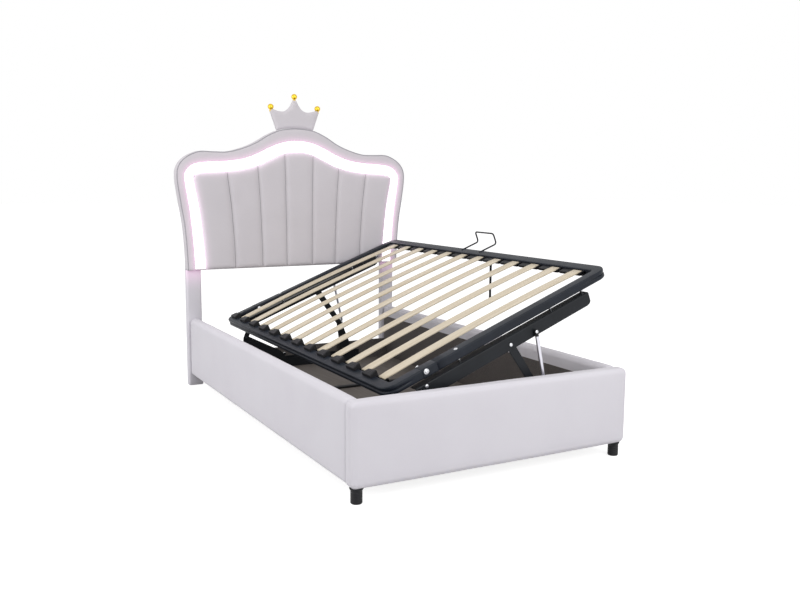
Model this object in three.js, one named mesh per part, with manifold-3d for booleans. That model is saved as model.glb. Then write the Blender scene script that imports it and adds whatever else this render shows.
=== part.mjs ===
// Ottoman bed with an upholstered base, a lit headboard with a crown, and a
// slatted steel frame that lifts on one long side by an arm and gas strut
// mechanism at each end. Millimetres, +Z up, the origin on the floor under
// the middle of the bed, +X towards the side that lifts, +Y towards the head.
import * as THREE from 'three';
import { mergeVertices } from 'three/addons/utils/BufferGeometryUtils.js';
import Module from 'manifold-3d';

const wasm = await Module();
wasm.setup();

// Overall sizes of the base
const bedLength = 2215;
const footPanelWidth = 1334;
const footPanelThickness = 64;
const panelTop = 395;
const panelBottom = 62;
const panelCornerRadius = 24;
const panelEdgeRadius = 14;
const sidePanelThickness = 60;
const sidePanelInset = 5.5;
const sideRollRadius = 22;

// Floor of the storage box
const floorThickness = 5;
const cleatHeight = 10;
const cleatWidth = 20;
const floorBoardCount = 3;
const boardJoint = 1;
const headRailTop = 190;
const headRailThickness = 14;
const headRailSetback = 38;
const beamWidth = 40;
const beamHeight = 20;

// Feet
const footRadius = 23;
const footFlangeRadius = 27;
const footFlangeHeight = 6;
const footEdge = 3;
const footInsetX = 36;
const footInsetY = 34;
const centreFootRadius = 20;
const centreFootPadHeight = 8;
const centreStemRadius = 7;

// Headboard
const headboardFoot = 680;
const headboardTop = 1501;
const headboardOverhang = 61;
const headboardThickness = 70;
const headboardEdgeRadius = 12;
const backPanelThickness = 4;
const backPanelInset = 30;
const legWidth = 76;
const legDepth = 45;
const legStrapDepth = 17;
const legStrapTop = 1150;
const legProud = 7;
const recessDepth = 10;
const ledThickness = 6;
const ledFootRise = 7;
const ledInset = 40;
const ledTopDrop = 72;
const padFootRise = 1;
const padInset = 95;
const padTopDrop = 145;
const padRise = 14;
const padChannelDepth = 9;
const padSideHeight = 5;
const padSideGap = 2;
const crownBaseHalf = 116;
const crownTipHalf = 156;
const crownTipRise = 99;
const crownValleyHalf = 85;
const crownValleyRise = 87;
const crownRise = 163;
const crownThickness = 30;
const crownEdgeRadius = 7;
const crownTipRadius = 12;
const crownSetback = 40;
const ballRadius = 16;
const ballCollarRadius = 8;
const ballCollarHeight = 9;
const inletRadius = 11;
const inletLength = 9;
const inletBore = 3;
const inletRise = 100;

// Slat frame, drawn level in its own axes: a across the bed, n upward
const frameSideGap = 10.5;
const frameStart = 101;
const frameHeadGap = 47;
const railHeight = 50;
const railWidth = 26;
const railGroove = 8;
const railBeadRadius = 7;
const railGrooveRadius = 8;
const railCornerRadius = 60;
const grooveEndAt = 130;
const sleeveAt = 245;
const sleeveJoint = 0.6;
const openShift = 130;
const openZ = 357;
const openTiltDegrees = 21.45;
const closedZ = 356;

// Slats and the holders that carry them
const slatCount = 12;
const slatWidth = 55;
const slatThickness = 8;
const slatFirst = 137;
const slatLast = 143.5;
const slatEndInset = 60;
const slatTipInset = 38;
const slatEndHeight = 27;
const slatRise = 11;
const holderWidth = 66;
const slatPlay = 1.2;
const pressDepth = 2;
const capStart = 9;
const capReach = 74;
const capTop = 64;
const capFoot = 17;
const pocketReach = 86;
const hoodReach = 52;
const pocketTop = 46;
const pocketFoot = 17;

// Lifting mechanism at each end, in layers from the foot panel inwards
const barStart = 118;
const barEndInset = 132;
const barFlangeGap = 8;
const barDrop = 75;
const barFlangeDepth = 39;
const barThickness = 4;
const barLayer = 88;
const armLayer = 92.5;
const armThickness = 5;
const webLayer = 98;
const webThickness = 4;
const longArmShare = 0.49577;
const shortArmAt = 140;
const strutShare = 0.60575;
const pivotDrop = 43;
const longArmWidth = 30;
const shortArmWidth = 28;
const longPivotReach = 220;
const shortPivotReach = 75;
const rivetRadius = 6;
const rivetHeadRadius = 10;
const rivetHeadHeight = 2;
const strutFootShare = 0.77496;
const strutFootZ = 110;
const strutLayer = 77;
const strutRadius = 8;
const strutRodRadius = 4;
const strutCylinderLength = 255;
const strutRodLength = 262;
const strutCapLength = 20;
const strutNeckRadius = 6;
const strutNeckLength = 12;
const strutEyeRadius = 9;
const strutEyeWidth = 8;
const strutStudRadius = 4;
const channelBackThickness = 3;
const channelBackHeight = 60;
const channelFloorThickness = 4;
const channelStartAt = 206;
const channelEndShare = 0.8384;
const lobeRadius = 16;
const hingeKneeAt = 449;
const hingeKneeZ = 180;
const channelWebTop = 130;
const postFootLeftShare = 0.73266;
const postFootRightShare = 0.79188;
const channelBoltAt = 478;
const channelBoltZ = 157;

// Bolts of the slat frame
const spacerRadius = 8;
const boltHeadRadius = 7;
const boltHeadHeight = 5;
const washerRadius = 11;
const washerThickness = 2;
const sleeveBoltAt = 200;
const sleeveBoltHeight = 28;
const barBoltShares = [0.248, 0.79, 0.978];

// Mattress stop and pull strap
const wireRadius = 3.5;
const wireHeight = 44;
const wireProud = 92;
const wireTop = 104;
const wireNear = 1069;
const wireFar = 1241;
const wireBend = 16;
const strapWidth = 19;
const strapThickness = 2;
const strapLength = 192;
const strapInset = 18;
const strapDrop = 12;
const strapFromFoot = 1000;
const strapLoopRadius = 5;
const strapPinRadius = 2.5;
const clipThickness = 2;
const clipHalf = 7;

// Clearances
const touchGap = 0.3;
const boreGap = 0.4;
const overrun = 1;

// Facets
const roundSegments = 20;
const smallSegments = 14;
const edgeSegments = 3;
const bendSegments = 6;
const hexSides = 6;
const wireSides = 8;
const curveSteps = 4;
const channelSteps = 4;
const padRows = 8;
const slatSteps = 10;

// Shares of the half width and of the height from foot to top, from the foot
// of one side up over the shoulder to the middle of the top
const archShares = [
  [0.929, 0], [0.936, 0.16], [0.95, 0.317], [0.977, 0.475], [1, 0.633], [0.988, 0.717],
  [0.929, 0.779], [0.824, 0.822], [0.71, 0.823], [0.59, 0.825], [0.46, 0.855],
  [0.357, 0.893], [0.257, 0.945], [0.162, 0.982], [0.08, 0.996], [0, 1],
];
const ledShares = [
  [0.926, 0], [0.937, 0.2], [0.962, 0.45], [1, 0.69], [0.985, 0.76], [0.916, 0.809],
  [0.78, 0.827], [0.648, 0.833], [0.5, 0.853], [0.374, 0.892], [0.272, 0.937],
  [0.172, 0.975], [0.08, 0.995], [0, 1],
];
const padShares = [
  [0.907, 0], [0.918, 0.2], [0.952, 0.5], [1, 0.755], [0.985, 0.793], [0.94, 0.81],
  [0.83, 0.818], [0.706, 0.823], [0.55, 0.843], [0.403, 0.877], [0.295, 0.922],
  [0.186, 0.968], [0.09, 0.994], [0, 1],
];
// Shares of the pad's half width at which the sewn channels meet
const seamShares = [-1, -0.702, -0.41, -0.143, 0.143, 0.41, 0.702, 1];

// Places worked out from the sizes above
const frontY = -bedLength / 2;
const backY = bedLength / 2;
const headboardHalfWidth = footPanelWidth / 2 + headboardOverhang;
const legOuterHalf = footPanelWidth / 2 + legProud;
const ledHalfWidth = headboardHalfWidth - ledInset;
const ledFoot = headboardFoot + ledFootRise;
const ledTop = headboardTop - ledTopDrop;
const padHalfWidth = headboardHalfWidth - padInset;
const padFoot = headboardFoot + padFootRise;
const padTop = headboardTop - padTopDrop;
const crownTipZ = headboardTop + crownTipRise;
const crownValleyZ = headboardTop + crownValleyRise;
const crownTop = headboardTop + crownRise;
const inletHeight = headboardFoot + inletRise;
const innerFootY = frontY + footPanelThickness;
const sideOuter = footPanelWidth / 2 - sidePanelInset;
const sideInner = sideOuter - sidePanelThickness;
const legFrontY = backY - legDepth;
const boardBackY = backY - legStrapDepth;
const boardFrontY = boardBackY - headboardThickness;
const recessY = boardFrontY + recessDepth;
const crownFrontY = boardFrontY + crownSetback;
const headRailFrontY = legFrontY - headRailSetback - headRailThickness;
const floorBottom = panelBottom + cleatHeight;
const floorTop = floorBottom + floorThickness;
const frameWidth = 2 * (sideInner - frameSideGap);
const frameStartY = frontY + frameStart;
const frameLength = boardFrontY - frameHeadGap - frameStartY;
const frameMidY = frameStartY + frameLength / 2;
const openTilt = THREE.MathUtils.degToRad(openTiltDegrees);
const closedX = -frameWidth / 2;
const openX = closedX + openShift;
const slatRightEnd = frameWidth - slatTipInset;
const slatPitch = (frameLength - slatFirst - slatLast) / (slatCount - 1);
const barEnd = frameWidth - barEndInset;
const longArmAt = longArmShare * frameWidth;
const strutAt = strutShare * frameWidth;
const wireReach = frameWidth + wireProud;
const strapAt = frameWidth - strapInset;

// Finishes
const finish = (color, roughness, metalness) =>
  new THREE.MeshStandardMaterial({ color, roughness, metalness });
const upholstery = finish(0xd2cfd7, 0.75, 0);
const headboardCloth = finish(0xc6c3c8, 0.75, 0);
const glow = finish(0xffffff, 0.4, 0);
const lining = finish(0x4e4640, 0.9, 0);
const boardFinish = finish(0x5a524b, 0.8, 0);
const darkSteel = finish(0x2d3237, 0.45, 0.6);
const mechanismSteel = finish(0x262a2e, 0.5, 0.6);
const birch = finish(0xdcd0b9, 0.6, 0);
const blackPlastic = finish(0x151516, 0.55, 0);
const silver = finish(0xcdcdd4, 0.3, 0.9);
const gold = finish(0xd7be3c, 0.3, 0.9);
const webbing = finish(0x1b1b1d, 0.9, 0);

const bed = new THREE.Group();
const slatFrame = new THREE.Group();
slatFrame.position.set(openX, 0, openZ);
slatFrame.rotation.y = -openTilt;
bed.add(slatFrame);

function addPiece(parent, name, geometry, material) {
  const mesh = new THREE.Mesh(geometry, material);
  mesh.name = name;
  parent.add(mesh);
  return mesh;
}

// Keeps only positions, so that shared vertices can be merged
function bare(geometry) {
  const copy = geometry.clone();
  copy.deleteAttribute('normal');
  copy.deleteAttribute('uv');
  return mergeVertices(copy);
}

function toSolid(geometry) {
  const shell = bare(geometry);
  return new wasm.Manifold(new wasm.Mesh({
    numProp: 3,
    vertProperties: new Float32Array(shell.attributes.position.array),
    triVerts: new Uint32Array(shell.index.array),
  }));
}

function fromSolid(solid) {
  const mesh = solid.getMesh();
  const geometry = new THREE.BufferGeometry();
  geometry.setAttribute('position', new THREE.BufferAttribute(mesh.vertProperties, 3));
  geometry.setIndex(new THREE.BufferAttribute(mesh.triVerts, 1));
  return geometry;
}

function joined(...geometries) {
  return fromSolid(geometries.map(toSolid).reduce((sum, solid) => sum.add(solid)));
}

function cut(geometry, ...tools) {
  return fromSolid(tools.map(toSolid).reduce((rest, tool) => rest.subtract(tool), toSolid(geometry)));
}

function block(x0, x1, y0, y1, z0, z1) {
  const geometry = new THREE.BoxGeometry(x1 - x0, y1 - y0, z1 - z0);
  return geometry.translate((x0 + x1) / 2, (y0 + y1) / 2, (z0 + z1) / 2);
}

// A shape drawn in x and z, given a thickness from y0 to y1
function plate(shape, y0, y1, edge = 0) {
  const geometry = new THREE.ExtrudeGeometry(shape, {
    depth: y1 - y0 - 2 * edge,
    bevelEnabled: edge > 0,
    bevelThickness: edge,
    bevelSize: edge,
    bevelOffset: -edge,
    bevelSegments: edgeSegments,
    curveSegments: bendSegments,
  });
  return geometry.rotateX(Math.PI / 2).translate(0, y1 - edge, 0);
}

// A cylinder whose axis runs along y
function pin(x, z, radius, y0, y1, segments = smallSegments) {
  const geometry = new THREE.CylinderGeometry(radius, radius, y1 - y0, segments);
  return geometry.translate(x, (y0 + y1) / 2, z);
}

// An upright cylinder
function post(x, y, radius, z0, z1, segments = smallSegments) {
  const geometry = new THREE.CylinderGeometry(radius, radius, z1 - z0, segments);
  return geometry.rotateX(Math.PI / 2).translate(x, y, (z0 + z1) / 2);
}

function roundedRectangle(x0, x1, z0, z1, radius) {
  const shape = new THREE.Shape();
  shape.moveTo(x0 + radius, z0);
  shape.lineTo(x1 - radius, z0);
  shape.absarc(x1 - radius, z0 + radius, radius, -Math.PI / 2, 0, false);
  shape.lineTo(x1, z1 - radius);
  shape.absarc(x1 - radius, z1 - radius, radius, 0, Math.PI / 2, false);
  shape.lineTo(x0 + radius, z1);
  shape.absarc(x0 + radius, z1 - radius, radius, Math.PI / 2, Math.PI, false);
  shape.lineTo(x0, z0 + radius);
  shape.absarc(x0 + radius, z0 + radius, radius, Math.PI, Math.PI * 3 / 2, false);
  return shape;
}

// Turns a foot end layer into the same layer at the head end
function atEnd(end, y0, y1) {
  const near = frontY + y0;
  const far = frontY + y1;
  return end > 0 ? [near, far] : [2 * frameMidY - far, 2 * frameMidY - near];
}

// Sweeps a closed profile along a line of points. The profile's first axis
// starts along firstSide and is carried along without twist.
function sweep(profile, points, firstSide) {
  const count = profile.length;
  const positions = [];
  const side = firstSide.clone();
  points.forEach((point, i) => {
    const before = points[Math.max(i - 1, 0)];
    const after = points[Math.min(i + 1, points.length - 1)];
    const along = after.clone().sub(before).normalize();
    side.addScaledVector(along, -side.dot(along)).normalize();
    const other = along.clone().cross(side);
    for (const [u, v] of profile) {
      const corner = point.clone().addScaledVector(side, u).addScaledVector(other, v);
      positions.push(corner.x, corner.y, corner.z);
    }
  });
  const index = [];
  for (let ring = 0; ring < points.length - 1; ring += 1) {
    for (let i = 0; i < count; i += 1) {
      const a = ring * count + i;
      const b = ring * count + (i + 1) % count;
      index.push(a, b, b + count, a, b + count, a + count);
    }
  }
  const last = (points.length - 1) * count;
  const outline = profile.map(([u, v]) => new THREE.Vector2(u, v));
  for (const [a, b, c] of THREE.ShapeUtils.triangulateShape(outline, [])) {
    index.push(a, c, b, last + a, last + b, last + c);
  }
  const geometry = new THREE.BufferGeometry();
  geometry.setAttribute('position', new THREE.Float32BufferAttribute(positions, 3));
  geometry.setIndex(index);
  return geometry;
}

function arcPoints(centre, radius, from, to, segments, place) {
  const points = [];
  for (let i = 0; i <= segments; i += 1) {
    const angle = from + (to - from) * i / segments;
    points.push(place(centre[0] + radius * Math.cos(angle), centre[1] + radius * Math.sin(angle)));
  }
  return points;
}

// Outlines of the headboard, mirrored from one half
function halfOutline(shares, halfWidth, foot, top) {
  return shares.map(([across, up]) =>
    new THREE.Vector2(across * halfWidth, foot + up * (top - foot)));
}

function archShape(shares, halfWidth, foot, top, inset) {
  const right = halfOutline(shares, halfWidth, foot, top);
  const left = right.slice(0, -1).reverse().map((p) => new THREE.Vector2(-p.x, p.y));
  const curve = new THREE.SplineCurve([...right, ...left]);
  const points = curve.getPoints(shares.length * curveSteps);
  const drawn = points.map((p, i) => {
    const before = points[Math.max(i - 1, 0)];
    const after = points[Math.min(i + 1, points.length - 1)];
    const along = after.clone().sub(before).normalize();
    return new THREE.Vector2(p.x - along.y * inset, p.y + along.x * inset);
  });
  drawn[0].y = foot;
  drawn[drawn.length - 1].y = foot;
  return drawn;
}

// Upholstered base panels
function footPanel() {
  const half = footPanelWidth / 2;
  const shape = roundedRectangle(-half, half, panelBottom, panelTop, panelCornerRadius);
  return plate(shape, frontY, innerFootY, panelEdgeRadius);
}

function sidePanel(side) {
  const height = panelTop - sideRollRadius;
  const outline = new THREE.Shape();
  const outer = sidePanelThickness / 2;
  outline.moveTo(-outer, panelBottom);
  outline.lineTo(outer, panelBottom);
  outline.lineTo(outer, height);
  outline.absellipse(0, height, outer, sideRollRadius, 0, Math.PI, false);
  outline.lineTo(-outer, panelBottom);
  const geometry = new THREE.ExtrudeGeometry(outline, {
    depth: legFrontY - innerFootY,
    bevelEnabled: false,
    curveSegments: bendSegments,
  });
  geometry.rotateX(Math.PI / 2).translate(side * (sideOuter - outer), legFrontY, 0);
  return geometry;
}

function frontFoot(side) {
  const profile = [
    [0, 0], [footRadius - footEdge, 0], [footRadius, footFlangeHeight / 2],
    [footRadius, panelBottom - footFlangeHeight], [footFlangeRadius, panelBottom - footFlangeHeight],
    [footFlangeRadius, panelBottom], [0, panelBottom],
  ].map(([r, z]) => new THREE.Vector2(r, z));
  const geometry = new THREE.LatheGeometry(profile, roundSegments).rotateX(Math.PI / 2);
  const x = side * (footPanelWidth / 2 - footInsetX);
  return geometry.translate(x, frontY + footInsetY, 0);
}

addPiece(bed, 'foot_panel', footPanel(), upholstery);
for (const [side, word] of [[-1, 'left'], [1, 'right']]) {
  addPiece(bed, `side_panel_${word}`, sidePanel(side), upholstery);
  addPiece(bed, `front_foot_${word}`, frontFoot(side), blackPlastic);
}

// Storage floor on its cleats, with the low rail that closes the head end
function floorBoard(index) {
  const length = (headRailFrontY - innerFootY) / floorBoardCount;
  const start = innerFootY + index * length;
  const end = start + length - (index < floorBoardCount - 1 ? boardJoint : 0);
  return block(-sideInner, sideInner, start, end, floorBottom, floorTop);
}

for (let i = 0; i < floorBoardCount; i += 1) {
  addPiece(bed, `floor_board_${i + 1}`, floorBoard(i), boardFinish);
}
for (const [side, word] of [[-1, 'left'], [1, 'right']]) {
  const inner = side * (sideInner - cleatWidth);
  const outer = side * sideInner;
  const cleat = block(Math.min(inner, outer), Math.max(inner, outer),
    innerFootY, headRailFrontY, panelBottom, floorBottom);
  addPiece(bed, `floor_cleat_${word}`, cleat, boardFinish);
}
addPiece(bed, 'head_rail', block(-sideInner, sideInner, headRailFrontY,
  headRailFrontY + headRailThickness, panelBottom, headRailTop), lining);
addPiece(bed, 'centre_beam', block(-beamWidth / 2, beamWidth / 2, innerFootY,
  headRailFrontY, floorBottom - beamHeight, floorBottom), mechanismSteel);

function centreFoot() {
  const top = floorBottom - beamHeight;
  const profile = [
    [0, 0], [centreFootRadius, 0], [centreFootRadius, centreFootPadHeight / 2],
    [centreStemRadius, centreFootPadHeight], [centreStemRadius, top], [0, top],
  ].map(([r, z]) => new THREE.Vector2(r, z));
  return new THREE.LatheGeometry(profile, roundSegments).rotateX(Math.PI / 2);
}
addPiece(bed, 'centre_foot', centreFoot(), blackPlastic);

// Headboard: a shell with a recess, the light strip and the channelled pad
function solidFromOutline(points, y0, y1, edge = 0) {
  return plate(new THREE.Shape(points), y0, y1, edge);
}

const archOutline = archShape(archShares, headboardHalfWidth, headboardFoot, headboardTop, 0);
const ledOutline = archShape(ledShares, ledHalfWidth, ledFoot, ledTop, 0);
const padOutline = archShape(padShares, padHalfWidth, padFoot, padTop, 0);

function openedBelow(points) {
  const first = points[0];
  const last = points[points.length - 1];
  const below = headboardFoot - overrun;
  return [new THREE.Vector2(first.x, below), ...points, new THREE.Vector2(last.x, below)];
}

// The arch drawn in from its edge all round, for the sunk panel of the back
function backOutline(inset) {
  const points = archShape(archShares, headboardHalfWidth, headboardFoot, headboardTop, inset);
  return points.map((p) => new THREE.Vector2(p.x, Math.max(p.y, headboardFoot + inset)));
}

function headboardShell() {
  const shell = solidFromOutline(archOutline, boardFrontY, boardBackY, headboardEdgeRadius);
  const recess = solidFromOutline(openedBelow(ledOutline), boardFrontY - overrun, recessY);
  const back = solidFromOutline(backOutline(backPanelInset),
    boardBackY - backPanelThickness, boardBackY + overrun);
  return cut(shell, recess, back);
}

function headboardBackPanel() {
  const points = backOutline(backPanelInset + touchGap);
  return solidFromOutline(points, boardBackY - backPanelThickness, boardBackY);
}

function ledStrip() {
  const outer = archShape(ledShares, ledHalfWidth, ledFoot, ledTop, touchGap);
  const strip = solidFromOutline(outer, recessY - ledThickness, recessY);
  const inner = solidFromOutline(openedBelow(padOutline), recessY - ledThickness - overrun,
    recessY + overrun);
  return cut(strip, inner);
}

// The pad's height over its back at a share across one of its channels
function channelHeight(share) {
  const swell = Math.sqrt(Math.max(0, 1 - (2 * share - 1) ** 2));
  return padRise - padChannelDepth * (1 - swell);
}

function headboardPad() {
  const edge = padSideGap;
  const curve = new THREE.SplineCurve(halfOutline(padShares, padHalfWidth - edge, padFoot, padTop - edge));
  const halfEdge = curve.getPoints(padShares.length * curveSteps);
  const cornerIndex = halfEdge.findIndex((p, i) => i > 0 && p.x < halfEdge[i - 1].x);
  const corner = halfEdge[cornerIndex - 1];
  const along = (points, key, value, read) => {
    const i = Math.max(1, points.findIndex((p, k) => k > 0
      && (p[key] - value) * (points[k - 1][key] - value) <= 0));
    const span = points[i][key] - points[i - 1][key];
    const share = span === 0 ? 0 : (value - points[i - 1][key]) / span;
    return points[i - 1][read] + share * (points[i][read] - points[i - 1][read]);
  };
  const sidePart = halfEdge.slice(0, cornerIndex);
  const topPart = halfEdge.slice(cornerIndex - 1);
  const halfAt = (z) => along(sidePart, 'y', Math.min(z, corner.y), 'x');
  const topAt = (x) => along(topPart, 'x', Math.min(Math.abs(x), corner.x), 'y');
  const columns = [];
  for (let c = 0; c < seamShares.length - 1; c += 1) {
    for (let k = 0; k < channelSteps + (c === seamShares.length - 2 ? 1 : 0); k += 1) {
      const share = k / channelSteps;
      const across = seamShares[c] + share * (seamShares[c + 1] - seamShares[c]);
      columns.push({ across, height: channelHeight(share) });
    }
  }
  const rearY = recessY - touchGap;
  const front = [];
  const rear = [];
  for (let r = 0; r <= padRows; r += 1) {
    for (const { across, height } of columns) {
      const up = r / padRows;
      const z0 = padFoot + up * (corner.y - padFoot);
      const x = across * halfAt(z0);
      const z = padFoot + up * (topAt(across * corner.x) - padFoot);
      const onRim = r === 0 || r === padRows || Math.abs(across) === 1;
      front.push(x, rearY - (onRim ? padSideHeight : height + padSideHeight), z);
      rear.push(x, rearY, z);
    }
  }
  const width = columns.length;
  const total = front.length / 3;
  const index = [];
  for (let r = 0; r < padRows; r += 1) {
    for (let c = 0; c < width - 1; c += 1) {
      const a = r * width + c;
      const b = a + 1;
      const d = a + width;
      index.push(a, b, b + width, a, b + width, d);
      index.push(total + a, total + b + width, total + b, total + a, total + d, total + b + width);
    }
  }
  const rim = [];
  for (let c = 0; c < width - 1; c += 1) rim.push(c);
  for (let r = 0; r < padRows; r += 1) rim.push(r * width + width - 1);
  for (let c = width - 1; c > 0; c -= 1) rim.push(padRows * width + c);
  for (let r = padRows; r > 0; r -= 1) rim.push(r * width);
  rim.forEach((a, i) => {
    const b = rim[(i + 1) % rim.length];
    index.push(a, total + b, b, a, total + a, total + b);
  });
  const geometry = new THREE.BufferGeometry();
  geometry.setAttribute('position', new THREE.Float32BufferAttribute([...front, ...rear], 3));
  geometry.setIndex(index);
  return geometry;
}

addPiece(bed, 'headboard_shell', headboardShell(), headboardCloth);
addPiece(bed, 'headboard_back_panel', headboardBackPanel(), lining);
addPiece(bed, 'led_strip', ledStrip(), glow);
addPiece(bed, 'headboard_pad', headboardPad(), headboardCloth);

// Crown, a padded outline that stands on the top of the arch
function crownShape() {
  const shape = new THREE.Shape();
  const base = archOutline.filter((point) =>
    Math.abs(point.x) < crownBaseHalf && point.y > crownTipZ / 2);
  const foot = base[0].y + touchGap;
  shape.moveTo(crownBaseHalf, foot);
  shape.lineTo(crownTipHalf, crownTipZ - crownTipRadius);
  shape.quadraticCurveTo(crownTipHalf, crownTipZ, crownTipHalf - crownTipRadius, crownTipZ);
  shape.quadraticCurveTo(crownValleyHalf + ballRadius, crownValleyZ, crownValleyHalf, crownValleyZ);
  shape.quadraticCurveTo(crownValleyHalf / 2, crownValleyZ, crownTipRadius, crownTop - crownTipRadius / 2);
  shape.quadraticCurveTo(0, crownTop + crownTipRadius / 2, -crownTipRadius, crownTop - crownTipRadius / 2);
  shape.quadraticCurveTo(-crownValleyHalf / 2, crownValleyZ, -crownValleyHalf, crownValleyZ);
  shape.quadraticCurveTo(-crownValleyHalf - ballRadius, crownValleyZ,
    crownTipRadius - crownTipHalf, crownTipZ);
  shape.quadraticCurveTo(-crownTipHalf, crownTipZ, -crownTipHalf, crownTipZ - crownTipRadius);
  shape.lineTo(-crownBaseHalf, foot);
  for (const point of [...base].reverse()) shape.lineTo(point.x, point.y + touchGap);
  return shape;
}

function crownPad() {
  return plate(crownShape(), crownFrontY, crownFrontY + crownThickness, crownEdgeRadius);
}

// A gold ball on a short collar
function crownBall(x, z) {
  const points = [new THREE.Vector2(0, 0), new THREE.Vector2(ballCollarRadius, 0)];
  const start = -Math.acos(ballCollarRadius / ballRadius);
  const rings = smallSegments / 2;
  const centre = ballCollarHeight - ballRadius * Math.sin(start);
  for (let i = 0; i < rings; i += 1) {
    const angle = start + (Math.PI / 2 - start) * i / rings;
    points.push(new THREE.Vector2(ballRadius * Math.cos(angle), centre + ballRadius * Math.sin(angle)));
  }
  points.push(new THREE.Vector2(0, centre + ballRadius));
  const geometry = new THREE.LatheGeometry(points, smallSegments).rotateX(Math.PI / 2);
  return geometry.translate(x, crownFrontY + crownThickness / 2, z);
}

// Headboard leg, thick below the shell and a strap behind it above, with the
// heads of the bolts that run through the strap into the shell
function headboardLeg(side) {
  const inner = legOuterHalf - legWidth;
  const x0 = side > 0 ? inner : -legOuterHalf;
  const x1 = side > 0 ? legOuterHalf : -inner;
  const thick = block(x0, x1, legFrontY, backY, 0, headboardFoot - touchGap);
  const strap = block(x0, x1, boardBackY + touchGap, backY, headboardFoot / 2, legStrapTop);
  const bolts = [headboardFoot + legWidth, legStrapTop - legWidth].map((z) =>
    pin((x0 + x1) / 2, z, boltHeadRadius, backY - overrun, backY + boltHeadHeight));
  return joined(thick, strap, ...bolts);
}

function ledPowerInlet() {
  const end = boardBackY + inletLength;
  const body = pin(0, inletHeight, inletRadius, boardBackY, end, roundSegments);
  const bore = pin(0, inletHeight, inletBore, boardBackY + washerThickness, end + overrun);
  return cut(body, bore);
}

// Steel angle that ties the foot panel to a side panel
function cornerBracket(side) {
  const reach = cleatWidth * 2;
  const low = floorTop + cleatWidth;
  const high = panelTop / 2;
  const shape = new THREE.Shape();
  shape.moveTo(0, 0);
  shape.lineTo(reach, 0);
  shape.lineTo(reach, barThickness);
  shape.lineTo(barThickness, barThickness);
  shape.lineTo(barThickness, reach);
  shape.lineTo(0, reach);
  const geometry = new THREE.ExtrudeGeometry(shape, { depth: high - low, bevelEnabled: false });
  geometry.rotateZ(side > 0 ? Math.PI / 2 : 0);
  return geometry.translate(side * sideInner, innerFootY, low);
}

addPiece(bed, 'crown_pad', crownPad(), headboardCloth);
const tipX = crownTipHalf - crownTipRadius;
addPiece(bed, 'crown_ball_centre', crownBall(0, crownTop), gold);
for (const [side, word] of [[-1, 'left'], [1, 'right']]) {
  addPiece(bed, `crown_ball_${word}`, crownBall(side * tipX, crownTipZ), gold);
  addPiece(bed, `headboard_leg_${word}`, headboardLeg(side), upholstery);
  addPiece(bed, `corner_bracket_${word}`, cornerBracket(side), mechanismSteel);
}
addPiece(bed, 'led_power_inlet', ledPowerInlet(), blackPlastic);

// Section of the slat frame's rail: a flat tube, or where it is grooved, two
// stacked beads with a groove between
function railProfile(grooved) {
  const half = railWidth / 2;
  const middle = railHeight / 2;
  const neck = half - railGroove;
  const pair = (u, v) => [u, v];
  const bottom = arcPoints([half - railBeadRadius, railBeadRadius], railBeadRadius,
    -Math.PI / 2, 0, edgeSegments, pair);
  const lower = arcPoints([neck, middle - railGrooveRadius], railGrooveRadius,
    0, Math.PI / 2, edgeSegments, pair);
  const below = grooved ? [...bottom, ...lower] : bottom;
  const mirrored = grooved ? below.slice(0, -1) : [...below];
  const above = mirrored.reverse().map(([u, v]) => [u, railHeight - v]);
  const right = [...below, ...above];
  const left = [...right].reverse().map(([u, v]) => [-u, v]);
  return [...right, ...left];
}

function railPoint(a, y) {
  return new THREE.Vector3(a, frameStartY + y, 0);
}

// One U of the frame: a grooved long side with both rounded corners, and the
// flat legs that lead to the end rails
function sideRail(side) {
  const half = railWidth / 2;
  const bend = railCornerRadius - half;
  const place = (a, y) => railPoint(side < 0 ? a : frameWidth - a, y);
  const centreNear = [half + bend, half + bend];
  const centreFar = [half + bend, frameLength - half - bend];
  const points = [
    place(grooveEndAt, half),
    ...arcPoints(centreNear, bend, -Math.PI / 2, -Math.PI, bendSegments, place),
    ...arcPoints(centreFar, bend, Math.PI, Math.PI / 2, bendSegments, place),
    place(grooveEndAt, frameLength - half),
  ];
  const legs = [half, frameLength - half].map((y) =>
    sweepRail([place(grooveEndAt - overrun, y), place(sleeveAt, y)], false));
  return joined(sweepRail(points, true), ...legs);
}

function sweepRail(points, grooved) {
  const profile = railProfile(grooved);
  const along = points[1].clone().sub(points[0]).normalize();
  const up = new THREE.Vector3(0, 0, 1);
  const firstSide = up.clone().cross(along);
  return sweep(profile, points, firstSide);
}

function endRail(end) {
  const y = end > 0 ? railWidth / 2 : frameLength - railWidth / 2;
  const line = [railPoint(sleeveAt + sleeveJoint, y), railPoint(frameWidth - sleeveAt - sleeveJoint, y)];
  return sweepRail(line, false);
}

// Sprung slats, arched along their length
function slatLine(offset) {
  const length = slatRightEnd - slatEndInset;
  const points = [];
  for (let i = 0; i <= slatSteps; i += 1) {
    const share = i / slatSteps;
    const rise = slatRise * (1 - (2 * share - 1) ** 2);
    points.push(new THREE.Vector2(slatEndInset + share * length, slatEndHeight + rise + offset));
  }
  return points;
}

function slat(y) {
  const outline = [...slatLine(0), ...slatLine(slatThickness).reverse()];
  return plate(new THREE.Shape(outline), y - slatWidth / 2, y + slatWidth / 2);
}

// Moulded holders, pressed on the rails: caps over the left rail, and inside
// the right rail pockets with a hood, each with a slot for a slat's end
function slotTool(a0, a1, y) {
  const low = slatEndHeight - touchGap;
  const high = slatEndHeight + slatThickness + slatPlay + touchGap;
  const half = slatWidth / 2 + touchGap;
  return block(a0, a1, y - half, y + half, low, high);
}

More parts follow.
